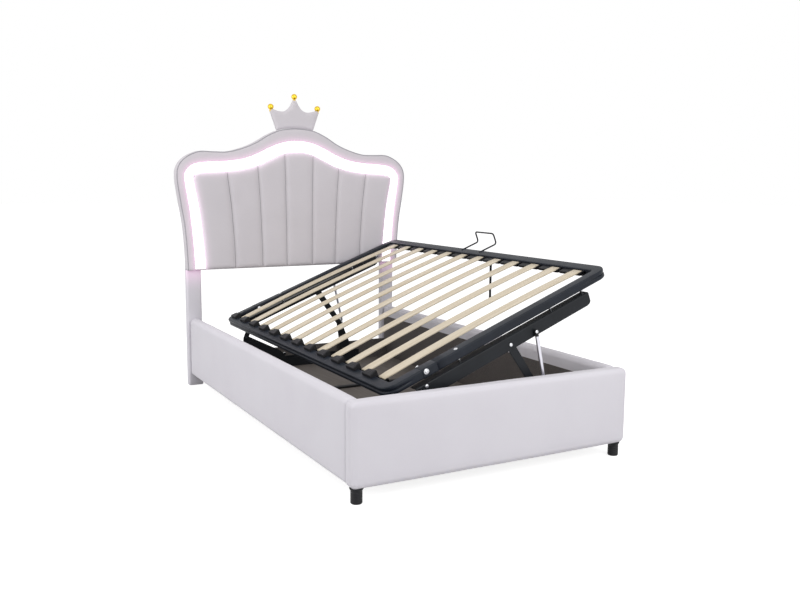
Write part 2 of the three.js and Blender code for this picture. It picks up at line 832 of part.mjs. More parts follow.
function slatCap(y) {
  const half = holderWidth / 2;
  const shape = new THREE.Shape();
  shape.moveTo(railWidth - pressDepth, capFoot);
  shape.lineTo(capReach, capFoot);
  shape.lineTo(capReach, railHeight);
  shape.quadraticCurveTo(capReach, capTop, railWidth * 2, capTop);
  shape.lineTo(railWidth, capTop);
  shape.quadraticCurveTo(capStart, capTop, capStart, railHeight - pressDepth);
  shape.lineTo(railWidth - pressDepth, railHeight - pressDepth);
  return cut(plate(shape, y - half, y + half), slotTool(slatEndInset - touchGap, capReach + overrun, y));
}

function slatPocket(y) {
  const outer = frameWidth - railWidth + pressDepth;
  const inner = frameWidth - pocketReach;
  const hood = frameWidth - hoodReach;
  const cheekTop = slatEndHeight + slatThickness / 2;
  const shape = new THREE.Shape();
  shape.moveTo(inner, pocketFoot);
  shape.lineTo(outer, pocketFoot);
  shape.lineTo(outer, pocketTop);
  shape.lineTo(hood, pocketTop);
  shape.lineTo(hood - (pocketTop - cheekTop) / 2, cheekTop);
  shape.lineTo(inner, cheekTop);
  const body = plate(shape, y - holderWidth / 2, y + holderWidth / 2);
  return cut(body, slotTool(inner - overrun, slatRightEnd + touchGap, y));
}

// Washered bolts by the left sleeve joints, on the outer face at both ends
function sleeveBolts() {
  return [1, -1].flatMap((end) => [
    pin(sleeveBoltAt, sleeveBoltHeight, washerRadius,
      ...atEnd(end, frameStart - washerThickness, frameStart + railGroove)),
    pin(sleeveBoltAt, sleeveBoltHeight, boltHeadRadius,
      ...atEnd(end, frameStart - washerThickness - boltHeadHeight, frameStart), hexSides),
  ]);
}

// Holes in the right rail for the legs of the mattress stop
function wireHoles() {
  const start = frameWidth - railWidth / 2 - overrun;
  return [wireNear, wireFar].map((y) => {
    const geometry = new THREE.CylinderGeometry(wireRadius + touchGap, wireRadius + touchGap,
      railWidth, smallSegments);
    return geometry.rotateZ(Math.PI / 2).translate(start + railWidth / 2, frontY + y, wireHeight);
  });
}

const slatPlaces = Array.from({ length: slatCount }, (_, i) => frameStartY + slatFirst + i * slatPitch);
slatPlaces.forEach((y, i) => {
  addPiece(slatFrame, `slat_${String(i + 1).padStart(2, '0')}`, slat(y), birch);
});
const leftRail = joined(sideRail(-1), ...slatPlaces.map(slatCap), ...sleeveBolts());
const rightRail = joined(sideRail(1), ...slatPlaces.map(slatPocket));
addPiece(slatFrame, 'side_rail_left', leftRail, darkSteel);
addPiece(slatFrame, 'side_rail_right', cut(rightRail, ...wireHoles()), darkSteel);
addPiece(slatFrame, 'end_rail_foot', endRail(1), darkSteel);
addPiece(slatFrame, 'end_rail_head', endRail(-1), darkSteel);

// Pivots of the lifting mechanism, each at its place in the open bed. The two
// base pivots are as far from their arm's top in the closed bed as in the open.
function place(a, n, originX, originZ, tilt) {
  return new THREE.Vector2(originX + a * Math.cos(tilt) - n * Math.sin(tilt),
    originZ + a * Math.sin(tilt) + n * Math.cos(tilt));
}

const opened = (a, n) => place(a, n, openX, openZ, openTilt);
const closed = (a, n) => place(a, n, closedX, closedZ, 0);

function basePivot(a, reach) {
  const open = opened(a, -pivotDrop);
  const shut = closed(a, -pivotDrop);
  const way = open.clone().sub(shut).normalize();
  const across = new THREE.Vector2(way.y, -way.x);
  return open.add(shut).divideScalar(2).addScaledVector(across, reach);
}

const longTop = opened(longArmAt, -pivotDrop);
const longFoot = basePivot(longArmAt, longPivotReach);
const shortTop = opened(shortArmAt, -pivotDrop);
const shortFoot = basePivot(shortArmAt, shortPivotReach);
const strutTop = opened(strutAt, -pivotDrop);
const strutFoot = new THREE.Vector2(closedX + strutFootShare * frameWidth, strutFootZ);
const channelStart = closedX + channelStartAt;
const channelEnd = closedX + channelEndShare * frameWidth;
const postFootLeft = closedX + postFootLeftShare * frameWidth;
const postFootRight = closedX + postFootRightShare * frameWidth;
const channelBoltX = closedX + channelBoltAt;

function linkShape(from, to, radius) {
  const angle = to.clone().sub(from).angle();
  const shape = new THREE.Shape();
  shape.absarc(from.x, from.y, radius, angle + Math.PI / 2, angle + Math.PI * 3 / 2, false);
  shape.absarc(to.x, to.y, radius, angle - Math.PI / 2, angle + Math.PI / 2, false);
  return shape;
}

// An arm with the rivets that it turns on. The foot rivet runs through the
// channel's web and the head rivet, where held, through the top bar's leg.
function liftArm(foot, top, width, end, topHeld) {
  const link = plate(linkShape(foot, top, width / 2), ...atEnd(end, armLayer, armLayer + armThickness));
  const headLayer = webLayer + webThickness + touchGap;
  const pieces = [
    pin(foot.x, foot.y, rivetRadius, ...atEnd(end, armLayer, headLayer + overrun)),
    pin(foot.x, foot.y, rivetHeadRadius, ...atEnd(end, headLayer, headLayer + rivetHeadHeight)),
  ];
  const inner = armLayer + armThickness;
  pieces.push(pin(top.x, top.y, rivetHeadRadius, ...atEnd(end, inner - overrun, inner + rivetHeadHeight)));
  if (topHeld) {
    const head = barLayer - touchGap;
    pieces.push(pin(top.x, top.y, rivetRadius, ...atEnd(end, head - overrun, armLayer + overrun)));
    pieces.push(pin(top.x, top.y, rivetHeadRadius, ...atEnd(end, head - rivetHeadHeight, head)));
  }
  return joined(link, ...pieces);
}

// Angle bar bolted under the slat frame, with spacers up to the rail
function topBar(end) {
  const top = -barFlangeGap;
  const leg = new THREE.Shape();
  leg.moveTo(barStart, top);
  leg.lineTo(barStart, -pivotDrop);
  leg.lineTo(barStart + pivotDrop, -barDrop);
  leg.lineTo(barEnd - pivotDrop / 2, -barDrop);
  leg.lineTo(barEnd, -pivotDrop);
  leg.lineTo(barEnd, top);
  const legPlate = plate(leg, ...atEnd(end, barLayer, barLayer + barThickness));
  const flange = block(barStart, barEnd, ...atEnd(end, barLayer, barLayer + barFlangeDepth),
    top - barThickness, top);
  const boltY = frameMidY - end * (frameLength / 2 - railWidth / 2);
  const fixings = barBoltShares.flatMap((share) => {
    const a = barStart + share * (barEnd - barStart);
    return [post(a, boltY, spacerRadius, top - overrun, -touchGap),
      post(a, boltY, boltHeadRadius, top - barThickness - boltHeadHeight, top - overrun, hexSides)];
  });
  const strutBoss = pin(strutAt, -pivotDrop, strutStudRadius,
    ...atEnd(end, strutLayer + strutEyeWidth / 2 + touchGap, barLayer + overrun));
  const hole = pin(longArmAt, -pivotDrop, rivetRadius + boreGap,
    ...atEnd(end, barLayer - overrun, barLayer + barThickness + overrun));
  return cut(joined(legPlate, flange, strutBoss, ...fixings), hole);
}

// Base channel screwed to the end of the box, its web drawn up into a lobe
// for the short arm and a post for the long arm
function baseChannel(end) {
  const web = new THREE.Shape();
  const floor = floorTop;
  web.moveTo(channelStart, floor);
  web.lineTo(shortFoot.x - lobeRadius, shortFoot.y);
  web.absarc(shortFoot.x, shortFoot.y, lobeRadius, Math.PI, Math.PI / 4, true);
  web.lineTo(closedX + hingeKneeAt, hingeKneeZ);
  web.lineTo(channelBoltX + lobeRadius, channelWebTop);
  web.lineTo(postFootLeft - lobeRadius, channelWebTop);
  web.absarc(longFoot.x, longFoot.y, lobeRadius, Math.PI, 0, true);
  web.lineTo(postFootRight, channelWebTop);
  web.lineTo(channelEnd, channelWebTop - lobeRadius);
  web.lineTo(channelEnd, floor);
  const far = webLayer + webThickness;
  const webPlate = plate(web, ...atEnd(end, webLayer, far));
  const floorFlange = block(channelStart, channelEnd, ...atEnd(end, footPanelThickness, far),
    floor, floor + channelFloorThickness);
  const backFar = footPanelThickness + channelBackThickness;
  const back = block(channelStart, channelEnd, ...atEnd(end, footPanelThickness, backFar),
    floor, floor + channelBackHeight);
  const eyeLayer = strutLayer - strutEyeWidth / 2;
  const stud = pin(strutFoot.x, strutFoot.y, strutStudRadius,
    ...atEnd(end, eyeLayer - rivetHeadHeight, webLayer + overrun));
  const studHead = pin(strutFoot.x, strutFoot.y, boltHeadRadius,
    ...atEnd(end, eyeLayer - rivetHeadHeight, eyeLayer - touchGap));
  const bolt = pin(channelBoltX, channelBoltZ, boltHeadRadius,
    ...atEnd(end, webLayer - boltHeadHeight, far), hexSides);
  const holes = [longFoot, shortFoot].map((pivot) =>
    pin(pivot.x, pivot.y, rivetRadius + boreGap, ...atEnd(end, webLayer - overrun, far + overrun)));
  return cut(joined(webPlate, floorFlange, back, stud, studHead, bolt), ...holes);
}

// Lays a lathe turned about y along the strut, from one pivot to the other
function alongStrut(geometry, from, to, end) {
  const way = new THREE.Vector3(to.x - from.x, 0, to.y - from.y).normalize();
  const turn = new THREE.Quaternion().setFromUnitVectors(new THREE.Vector3(0, 1, 0), way);
  const [y] = atEnd(end, strutLayer, strutLayer);
  return geometry.applyQuaternion(turn).translate(from.x, y, from.y);
}

function strutEye(pivot, end) {
  const half = strutEyeWidth / 2;
  return pin(pivot.x, pivot.y, strutEyeRadius, ...atEnd(end, strutLayer - half, strutLayer + half));
}

function strutCylinder(end) {
  const bore = strutRodRadius + boreGap;
  const profile = [
    [0, strutNeckRadius], [strutNeckRadius, strutNeckRadius], [strutNeckRadius, strutNeckLength],
    [strutRadius, strutNeckLength], [strutRadius, strutCylinderLength], [bore, strutCylinderLength],
    [bore, strutCapLength], [0, strutCapLength],
  ].map(([r, s]) => new THREE.Vector2(r, s));
  const tube = alongStrut(new THREE.LatheGeometry(profile, smallSegments), strutTop, strutFoot, end);
  return joined(tube, strutEye(strutTop, end));
}

function strutRod(end) {
  const profile = [
    [0, strutNeckRadius], [strutRodRadius, strutNeckRadius], [strutRodRadius, strutRodLength],
    [0, strutRodLength],
  ].map(([r, s]) => new THREE.Vector2(r, s));
  const rod = alongStrut(new THREE.LatheGeometry(profile, smallSegments), strutFoot, strutTop, end);
  const half = strutEyeWidth / 2 + overrun;
  const hole = pin(strutFoot.x, strutFoot.y, strutStudRadius + boreGap,
    ...atEnd(end, strutLayer - half, strutLayer + half));
  return cut(joined(rod, strutEye(strutFoot, end)), hole);
}

for (const [end, word] of [[1, 'foot'], [-1, 'head']]) {
  addPiece(slatFrame, `top_bar_${word}`, topBar(end), mechanismSteel);
  addPiece(bed, `base_channel_${word}`, baseChannel(end), mechanismSteel);
  addPiece(bed, `long_arm_${word}`, liftArm(longFoot, longTop, longArmWidth, end, true), mechanismSteel);
  addPiece(bed, `short_arm_${word}`, liftArm(shortFoot, shortTop, shortArmWidth, end, false), mechanismSteel);
  addPiece(bed, `strut_cylinder_${word}`, strutCylinder(end), silver);
  addPiece(bed, `strut_rod_${word}`, strutRod(end), silver);
}

// Wire mattress stop, pushed into two holes of the right rail
function roundedLine(corners, radius) {
  const points = [corners[0]];
  for (let i = 1; i < corners.length - 1; i += 1) {
    const before = corners[i - 1].clone().sub(corners[i]).setLength(radius).add(corners[i]);
    const after = corners[i + 1].clone().sub(corners[i]).setLength(radius).add(corners[i]);
    points.push(...new THREE.QuadraticBezierCurve3(before, corners[i], after).getPoints(bendSegments));
  }
  points.push(corners[corners.length - 1]);
  return points;
}

function circleProfile(radius, sides) {
  return Array.from({ length: sides }, (_, i) => {
    const angle = i * Math.PI * 2 / sides;
    return [radius * Math.cos(angle), radius * Math.sin(angle)];
  });
}

const wireSeat = frameWidth - railWidth / 2;

function mattressStop() {
  const corner = (a, y, n) => new THREE.Vector3(a, frontY + y, n);
  const line = roundedLine([
    corner(wireSeat, wireNear, wireHeight), corner(wireReach, wireNear, wireHeight),
    corner(wireReach, wireNear, wireTop), corner(wireReach, wireFar, wireTop),
    corner(wireReach, wireFar, wireHeight), corner(wireSeat, wireFar, wireHeight),
  ], wireBend);
  return sweep(circleProfile(wireRadius, wireSides), line, new THREE.Vector3(0, 0, 1));
}

addPiece(slatFrame, 'mattress_stop', mattressStop(), mechanismSteel);

// Pull strap, hung on a pin in a clip under the right rail
function strapClip() {
  const y = frontY + strapFromFoot;
  const ear = strapWidth / 2 + boreGap;
  const outer = ear + clipThickness;
  const low = -strapDrop - strapPinRadius - clipThickness;
  const base = block(strapAt - clipHalf, strapAt + clipHalf, y - outer, y + outer,
    -touchGap - clipThickness, -touchGap);
  const ears = [[-outer, -ear], [ear, outer]].map(([near, far]) =>
    block(strapAt - clipHalf, strapAt + clipHalf, y + near, y + far, low, -touchGap));
  const bar = pin(strapAt, -strapDrop, strapPinRadius, y - outer + touchGap, y + outer - touchGap);
  return joined(base, ...ears, bar);
}

function pullStrap() {
  const top = opened(strapAt, -strapDrop);
  const y = frontY + strapFromFoot;
  const half = strapWidth / 2;
  const loop = pin(top.x, top.y, strapLoopRadius, y - half, y + half);
  const band = block(top.x - strapThickness / 2, top.x + strapThickness / 2, y - half, y + half,
    top.y - strapLength, top.y);
  const hole = pin(top.x, top.y, strapPinRadius + boreGap, y - half - overrun, y + half + overrun);
  return cut(joined(loop, band), hole);
}

addPiece(slatFrame, 'strap_clip', strapClip(), mechanismSteel);
addPiece(bed, 'pull_strap', pullStrap(), webbing);
export default bed;
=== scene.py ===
# %% [markdown]
# # An ottoman bed: padded base, lit headboard and a slatted frame that lifts
# The solids of the bed were made first, in a CAD program, and they are loaded
# here as a fixed frame. Every visible piece is then modelled over its solid,
# or is the solid itself with a finish of its own. All sizes are in metres,
# X points to the side that lifts, Y to the head and Z up.

# %% Load the solids
import math
import bmesh
import bpy
from mathutils import Matrix, Vector, noise


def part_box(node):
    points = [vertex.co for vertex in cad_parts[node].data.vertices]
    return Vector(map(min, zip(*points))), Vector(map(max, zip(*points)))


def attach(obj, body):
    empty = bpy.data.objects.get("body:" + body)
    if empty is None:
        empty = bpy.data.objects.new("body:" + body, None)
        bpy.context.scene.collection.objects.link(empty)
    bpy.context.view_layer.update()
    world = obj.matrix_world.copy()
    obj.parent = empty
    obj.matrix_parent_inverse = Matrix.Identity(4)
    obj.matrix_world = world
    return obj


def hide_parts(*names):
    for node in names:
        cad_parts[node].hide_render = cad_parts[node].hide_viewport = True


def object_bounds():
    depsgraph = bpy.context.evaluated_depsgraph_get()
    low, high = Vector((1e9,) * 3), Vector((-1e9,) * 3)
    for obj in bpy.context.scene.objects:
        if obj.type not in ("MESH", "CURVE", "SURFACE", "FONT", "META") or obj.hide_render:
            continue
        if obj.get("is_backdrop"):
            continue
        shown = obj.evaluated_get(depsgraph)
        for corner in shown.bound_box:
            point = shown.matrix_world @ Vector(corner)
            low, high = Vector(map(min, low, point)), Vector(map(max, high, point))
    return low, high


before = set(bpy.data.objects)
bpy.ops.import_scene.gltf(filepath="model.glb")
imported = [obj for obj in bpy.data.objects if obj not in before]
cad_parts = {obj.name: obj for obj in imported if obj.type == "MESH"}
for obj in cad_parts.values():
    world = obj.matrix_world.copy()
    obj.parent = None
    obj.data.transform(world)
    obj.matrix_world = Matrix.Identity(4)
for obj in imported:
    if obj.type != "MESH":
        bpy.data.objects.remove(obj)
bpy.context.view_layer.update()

# %% [markdown]
# The camera could be placed by eye until the outlines match. It was worked
# out instead: the straight edges of the base and the slat frame fix where a
# lens of about 39 mm must have stood, about 1.2 m above the floor and turned
# towards the side that lifts. The small roll is the photographer's.

# %% Place the camera
def new_object(name, data):
    made = bpy.data.objects.new(name, data)
    bpy.context.scene.collection.objects.link(made)
    return made


picture_width, sensor_width, focal_length_in_pixels = 800, 36, 869.35
camera_place = Vector((-2.0001, -3.8787, 1.1929))
turn, dip, roll = (math.radians(angle) for angle in (28.899, 7.762, 0.449))
forward = Vector((math.sin(turn) * math.cos(dip), math.cos(turn) * math.cos(dip), -math.sin(dip)))
level_right = Vector((math.cos(turn), -math.sin(turn), 0))
level_up = level_right.cross(forward)
right = math.cos(roll) * level_right + math.sin(roll) * level_up
up = math.cos(roll) * level_up - math.sin(roll) * level_right
camera = new_object("camera", bpy.data.cameras.new("camera"))
camera.data.sensor_width = sensor_width
camera.data.lens = sensor_width * focal_length_in_pixels / picture_width
camera.matrix_world = Matrix.Translation(camera_place) @ Matrix((right, up, -forward)).transposed().to_4x4()
bpy.context.scene.camera = camera
print("lens:", round(camera.data.lens, 2), "mm")

# %% [markdown]
# Finishes are built from nodes, so they need no pictures and have detail at
# any distance. Colours are easier to judge as they look on a screen, from 0
# to 255, but the renderer works in light, so a helper turns one into the
# other. A second helper starts a material and keeps its node tree at hand.

# %% Helpers for finishes
def paint(red, green, blue):
    def linear(value):
        share = value / 255
        return share / 12.92 if share <= 0.04045 else ((share + 0.055) / 1.055) ** 2.4
    return linear(red), linear(green), linear(blue), 1.0


def add_node(tree, kind, values=None, sources=None, **settings):
    """A node with its settings, the values of its sockets and the outputs that feed them."""
    node = tree.nodes.new(kind)
    for key, value in settings.items():
        setattr(node, key, value)
    for key, value in (values or {}).items():
        node.inputs[key].default_value = value
    for key, source in (sources or {}).items():
        tree.links.new(source, node.inputs[key])
    return node


class Finish:
    """A material with its node tree and its main shader."""

    def __init__(self, name, slot, colour, roughness, metallic=0.0):
        self.slot = slot
        self.material = bpy.data.materials.new(name)
        self.material.use_nodes = True
        self.tree = self.material.node_tree
        self.shader = self.tree.nodes["Principled BSDF"]
        self.set({"Base Color": colour, "Roughness": roughness, "Metallic": metallic})
        self.place = add_node(self.tree, "ShaderNodeTexCoord").outputs["Object"]

    def set(self, values):
        for key, value in values.items():
            self.shader.inputs[key].default_value = value

    def feed(self, source, key):
        self.tree.links.new(source, self.shader.inputs[key])

    def noise(self, scale, detail=2.0, stretch=None):
        place = self.place
        if stretch:
            stretched = add_node(self.tree, "ShaderNodeMapping", {"Scale": stretch}, {"Vector": place})
            place = stretched.outputs["Vector"]
        return add_node(self.tree, "ShaderNodeTexNoise", {"Scale": scale, "Detail": detail},
                        {"Vector": place}).outputs["Fac"]

    def bands(self, scale, direction):
        return add_node(self.tree, "ShaderNodeTexWave", {"Scale": scale}, {"Vector": self.place},
                        bands_direction=direction).outputs["Fac"]

    def between(self, share, low, high, low_at=0.3, high_at=0.7):
        """Turns a 0 to 1 pattern into a colour from low to high."""
        ramp = add_node(self.tree, "ShaderNodeValToRGB", None, {"Fac": share})
        for stop, place, colour in zip(ramp.color_ramp.elements, (low_at, high_at), (low, high)):
            stop.position, stop.color = place, colour
        return ramp.outputs["Color"]

    def mixed(self, first, second, share=0.5):
        return add_node(self.tree, "ShaderNodeMix", {"Factor": share}, {"A": first, "B": second},
                        data_type="RGBA").outputs["Result"]

    def bump(self, height, strength, distance):
        """Adds one more layer of relief over those already there."""
        below = self.shader.inputs["Normal"].links
        sources = {"Height": height, "Normal": below[0].from_socket} if below else {"Height": height}
        node = add_node(self.tree, "ShaderNodeBump", {"Strength": strength, "Distance": distance}, sources)
        self.feed(node.outputs["Normal"], "Normal")

    def roughness(self, share, low, high):
        node = add_node(self.tree, "ShaderNodeMapRange", {"To Min": low, "To Max": high}, {"Value": share})
        self.feed(node.outputs["Result"], "Roughness")


print("helpers ready")

# %% [markdown]
# The floor could be a bright white plane, but more light on the plane would
# also brighten the bed. Its colour stays plain for the light that bounces
# off it, and what the camera, a mirror or a glass sees of it is lifted
# towards white, with the bed's own shadow left in it.

# %% Floor and backdrop
def seen_directly(tree):
    """1 where the camera looks, also by way of gloss or glass, and 0 for bounced light."""
    path = add_node(tree, "ShaderNodeLightPath").outputs
    share = path["Is Camera Ray"]
    for other in ("Is Glossy Ray", "Is Transmission Ray"):
        either = add_node(tree, "ShaderNodeMath", None, {0: share, 1: path[other]}, operation="MAXIMUM")
        share = either.outputs[0]
    return share


floor_material = bpy.data.materials.new("pale_floor")
floor_material.use_nodes = True
tree = floor_material.node_tree
tree.nodes.remove(tree.nodes["Principled BSDF"])
matt = add_node(tree, "ShaderNodeBsdfDiffuse", {"Color": (0.55, 0.55, 0.55, 1)})
lift = add_node(tree, "ShaderNodeEmission", {"Color": (1, 1, 1, 1)}, {"Strength": seen_directly(tree)})
share_of_lift = add_node(tree, "ShaderNodeMixShader", {"Fac": 0.8}, {2: lift.outputs[0]})
whole = add_node(tree, "ShaderNodeAddShader", None, {0: matt.outputs[0], 1: share_of_lift.outputs[0]})
tree.links.new(whole.outputs[0], tree.nodes["Material Output"].inputs["Surface"])

floor_half = 40.0
floor_mesh = bpy.data.meshes.new("floor")
floor_corners = [(x * floor_half, y * floor_half, 0) for x, y in ((-1, -1), (1, -1), (1, 1), (-1, 1))]
floor_mesh.from_pydata(floor_corners, [], [(0, 1, 2, 3)])
floor_mesh.materials.append(floor_material)
floor = new_object("floor", floor_mesh)
floor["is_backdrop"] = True

world = bpy.data.worlds.new("studio")
world.use_nodes = True
bpy.context.scene.world = world
tree = world.node_tree
world_light = tree.nodes["Background"]
world_light.inputs["Color"].default_value = (1.0, 0.985, 0.995, 1)
world_light.inputs["Strength"].default_value = 0.62
white = add_node(tree, "ShaderNodeBackground", {"Color": (1, 1, 1, 1), "Strength": 1.0})
choose = add_node(tree, "ShaderNodeMixShader", None,
                  {"Fac": seen_directly(tree), 1: world_light.outputs[0], 2: white.outputs[0]})
tree.links.new(choose.outputs[0], tree.nodes["World Output"].inputs["Surface"])
print("floor and backdrop: white to the camera")

# %% [markdown]
# The photograph has almost no shadows, so the light comes from everywhere:
# the backdrop gives most of it. A large soft lamp over the bed adds the
# slightly lighter top faces. One in front of the foot panel and one on the
# left keep both outer faces equally pale.

# %% Lamps
def soft_lamp(name, place, target, size, power):
    lamp = new_object(name, bpy.data.lights.new(name, "AREA"))
    lamp.data.size = size
    lamp.data.energy = power
    lamp.location = place
    lamp.rotation_mode = "QUATERNION"
    lamp.rotation_quaternion = (Vector(target) - Vector(place)).to_track_quat("-Z", "Y")


soft_lamp("lamp_above", (-0.6, -1.6, 4.6), (0, 0, 0.5), 3.2, 28)
soft_lamp("lamp_front", (0.8, -5.5, 2.6), (0, -1, 0.5), 3.0, 122)
soft_lamp("lamp_left", (-5.0, 0.2, 2.2), (-0.6, 0, 0.6), 3.0, 100)
print("lamps: 3")

# %% [markdown]
# The bed is covered in a smooth, slightly shiny soft cloth. Up close it has
# a fine nap, so the relief has three layers: a weave under a millimetre, a
# soft grain, and the slow waves of foam under cloth. A little sheen at
# grazing angles is what tells cloth from painted wood.

# %% Cloth finishes
def soft_cloth(name, colour, shade, slot="headboard_cloth"):
    cloth = Finish(name, slot, colour, 0.72)
    cloth.set({"Sheen Weight": 0.12, "Sheen Roughness": 0.45, "Specular IOR Level": 0.32})
    tone = cloth.between(cloth.noise(3.5, 4.0), shade, colour, 0.25, 0.6)
    nap = cloth.between(cloth.noise(420.0, 3.0), shade, colour, 0.2, 0.6)
    cloth.feed(cloth.mixed(tone, nap, 0.35), "Base Color")
    cloth.bump(cloth.noise(7.0, 2.0), 0.25, 0.003)
    cloth.bump(cloth.noise(900.0, 2.0), 0.16, 0.0004)
    cloth.bump(cloth.bands(1300.0, "DIAGONAL"), 0.07, 0.0003)
    return cloth


def add_glow(finish, strength):
    """Pink light that the strip leaves in the cloth, by how near each point is."""
    near = add_node(finish.tree, "ShaderNodeAttribute", attribute_name="near_light").outputs["Fac"]
    glow = add_node(finish.tree, "ShaderNodeMath", {1: strength}, {0: near}, operation="MULTIPLY")
    finish.set({"Emission Color": (1.0, 0.5, 0.84, 1)})
    finish.feed(glow.outputs[0], "Emission Strength")


base_cloth = soft_cloth("base_cloth", paint(214, 212, 218), paint(208, 205, 212), "base_cloth")
headboard_cloth = soft_cloth("headboard_cloth", paint(210, 206, 211), paint(203, 199, 204))
# The piping's darker cloth is partly its own tone and partly painted shade for the dark line along the
# board's edge.
piping_tone_and_painted_shade = soft_cloth("piping_tone_and_painted_shade", paint(176, 174, 180), paint(166, 164, 170))
# The seams' darker cloth is painted shade: the fine dark line of shade in each seam's fold.
seam_shade_cloth = soft_cloth("seam_painted_shade", paint(150, 147, 152), paint(136, 133, 138))
add_glow(base_cloth, 0.35)
add_glow(headboard_cloth, 0.42)
print("cloth finishes: 4")

# %% [markdown]
# The inside of the base is lined with a dark, felt-like cloth. Its floor is
# faced board, a little lighter, with a faint brushed grain.

# %% Linings and boards
def speckled(name, slot, colour, roughness, grain, low, high):
    """A finish whose colour wanders between two tones."""
    made = Finish(name, slot, colour, roughness)
    made.feed(made.between(made.noise(*grain), low, high), "Base Color")
    return made


lining = speckled("dark_lining", "lining", paint(90, 86, 84), 0.92, (260.0, 4.0), paint(76, 72, 70),
                  paint(102, 97, 95))
lining.bump(lining.noise(650.0, 3.0), 0.35, 0.0008)
lining.bump(lining.noise(9.0, 2.0), 0.25, 0.003)

board = Finish("floor_board", "board", paint(98, 91, 86), 0.7)
board.feed(board.mixed(
    board.between(board.noise(5.0, 3.0), paint(90, 84, 79), paint(106, 99, 94)),
    board.between(board.noise(90.0, 3.0, (1, 0.06, 1)), paint(84, 78, 73), paint(112, 105, 99))),
    "Base Color")
board.bump(board.noise(300.0, 2.0, (1, 0.1, 1)), 0.2, 0.0004)

dust_cloth = speckled("back_dust_cloth", "lining", paint(58, 56, 58), 0.95, (500.0, 2.0), paint(46, 45, 47),
                      paint(70, 68, 70))
for direction in ("X", "Z"):
    dust_cloth.bump(dust_cloth.bands(900.0, direction), 0.2, 0.0004)
print("linings and boards: 3")

# %% [markdown]
# The steel is powder coated in a dark blue grey. A powder coat is never
# quite smooth: it has a fine orange peel, which breaks up its reflections.
# Bare metal is told by its reflections alone, so its colour is plain and
# only the roughness wanders, with fine turning lines on the bolt heads.

# %% Metal finishes
def powder_coat(name, colour, worn):
    coat = Finish(name, name, colour, 0.42)
    coat.feed(coat.between(coat.noise(14.0, 5.0), colour, worn, 0.35, 0.8), "Base Color")
    coat.bump(coat.noise(700.0, 2.0), 0.12, 0.0004)
    coat.roughness(coat.noise(30.0, 3.0), 0.36, 0.5)
    coat.set({"Specular IOR Level": 0.22})
    return coat


def bare_metal(name, slot, colour, low, high, lines):
    metal = Finish(name, slot, colour, low, 1.0)
    metal.roughness(metal.noise(120.0, 3.0), low, high)
    metal.bump(metal.noise(lines, 2.0), 0.06, 0.0002)
    return metal


frame_paint = powder_coat("frame_paint", paint(21, 26, 34), paint(28, 34, 44))
mechanism_paint = powder_coat("mechanism_paint", paint(18, 21, 25), paint(24, 28, 33))
zinc = bare_metal("zinc", "bright_steel", paint(206, 207, 210), 0.22, 0.36, 900.0)
silver = bare_metal("strut_silver", "bright_steel", paint(205, 205, 212), 0.24, 0.34, 600.0)
gold = bare_metal("gold", "gold", paint(226, 190, 62), 0.14, 0.26, 400.0)
print("metal finishes: 5")

# %% [markdown]
# Sprung slats are bare laminated wood. The grain runs along each slat, so
# the noise is stretched along the slat's own length, and thin darker lines
# follow the same way. The slat meshes keep their own axes for this reason.

# %% Wood, plastic, strap and light
birch = Finish("birch_slat", "birch", paint(205, 194, 171), 0.55)
along_slat, finer_along_slat = (0.05, 1, 1), (0.02, 1, 1)
birch.feed(birch.mixed(
    birch.between(birch.noise(46.0, 6.0, along_slat), paint(193, 179, 152), paint(213, 203, 183), 0.3, 0.65),
    birch.between(birch.noise(240.0, 4.0, finer_along_slat), paint(185, 169, 140), paint(211, 200, 179),
                  0.2, 0.5), 0.4), "Base Color")
birch.bump(birch.noise(300.0, 3.0, finer_along_slat), 0.15, 0.0003)

black_plastic = speckled("black_plastic", "black_plastic", paint(14, 14, 18), 0.5, (18.0, 3.0),
                         paint(12, 12, 15), paint(19, 19, 24))
black_plastic.set({"Specular IOR Level": 0.25})
black_plastic.bump(black_plastic.noise(800.0, 2.0), 0.12, 0.0004)

webbing = Finish("webbing", "webbing", paint(30, 30, 32), 0.85)
webbing.feed(webbing.between(webbing.bands(700.0, "Z"), paint(22, 22, 24), paint(44, 44, 47)), "Base Color")
webbing.bump(webbing.bands(700.0, "Z"), 0.5, 0.0006)
webbing.bump(webbing.bands(900.0, "Y"), 0.4, 0.0005)

light_strip = Finish("light_strip", "light", (1.0, 0.97, 0.99, 1), 0.4)
light_strip.set({"Emission Color": (1.0, 0.86, 0.96, 1), "Emission Strength": 1.6})
light_strip.bump(light_strip.noise(60.0, 1.0), 0.05, 0.0005)
print("finishes in all:", len(bpy.data.materials))

# %% [markdown]
# Most pieces are lofts: rows of points with faces between them. One helper
# turns points and faces into a piece that rides on its body, stands for its
# solids and has its finish. A second helper makes the faces of a loft.

# %% Helpers for pieces
def closed_mesh(name, points, faces):
    """A mesh whose faces all look outwards."""
    mesh = bpy.data.meshes.new(name)
    mesh.from_pydata([tuple(p) for p in points], [], faces)
    shell = bmesh.new()
    shell.from_mesh(mesh)
    bmesh.ops.recalc_face_normals(shell, faces=shell.faces)
    shell.to_mesh(mesh)
    shell.free()
    return mesh


def add_piece(name, points, faces, body, finish, stands_for=(), at=None, smooth=True, soft=None):
    mesh = closed_mesh(name, points, faces)
    mesh.materials.append(finish.material)
    mesh.polygons.foreach_set("use_smooth", [smooth] * len(mesh.polygons))
    piece = new_object(name, mesh)
    if at is not None:
        piece.matrix_world = at
    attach(piece, body)
    if stands_for:
        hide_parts(*stands_for)
    return piece


def loft(rows, round_across=False):
    """Points and faces of a surface through rows of equally many points, closed if the rows are round."""
    across, count = len(rows[0]), len(rows)
    points = [p for row in rows for p in row]
    faces = []
    for start in range(0, (count - 1) * across, across):
        for c in range(across if round_across else across - 1):
            a, b = start + c, start + (c + 1) % across
            faces.append((a, b, b + across, a + across))
    if round_across:
        faces.append(tuple(reversed(range(across))))
        faces.append(tuple(range((count - 1) * across, count * across)))
    return points, faces


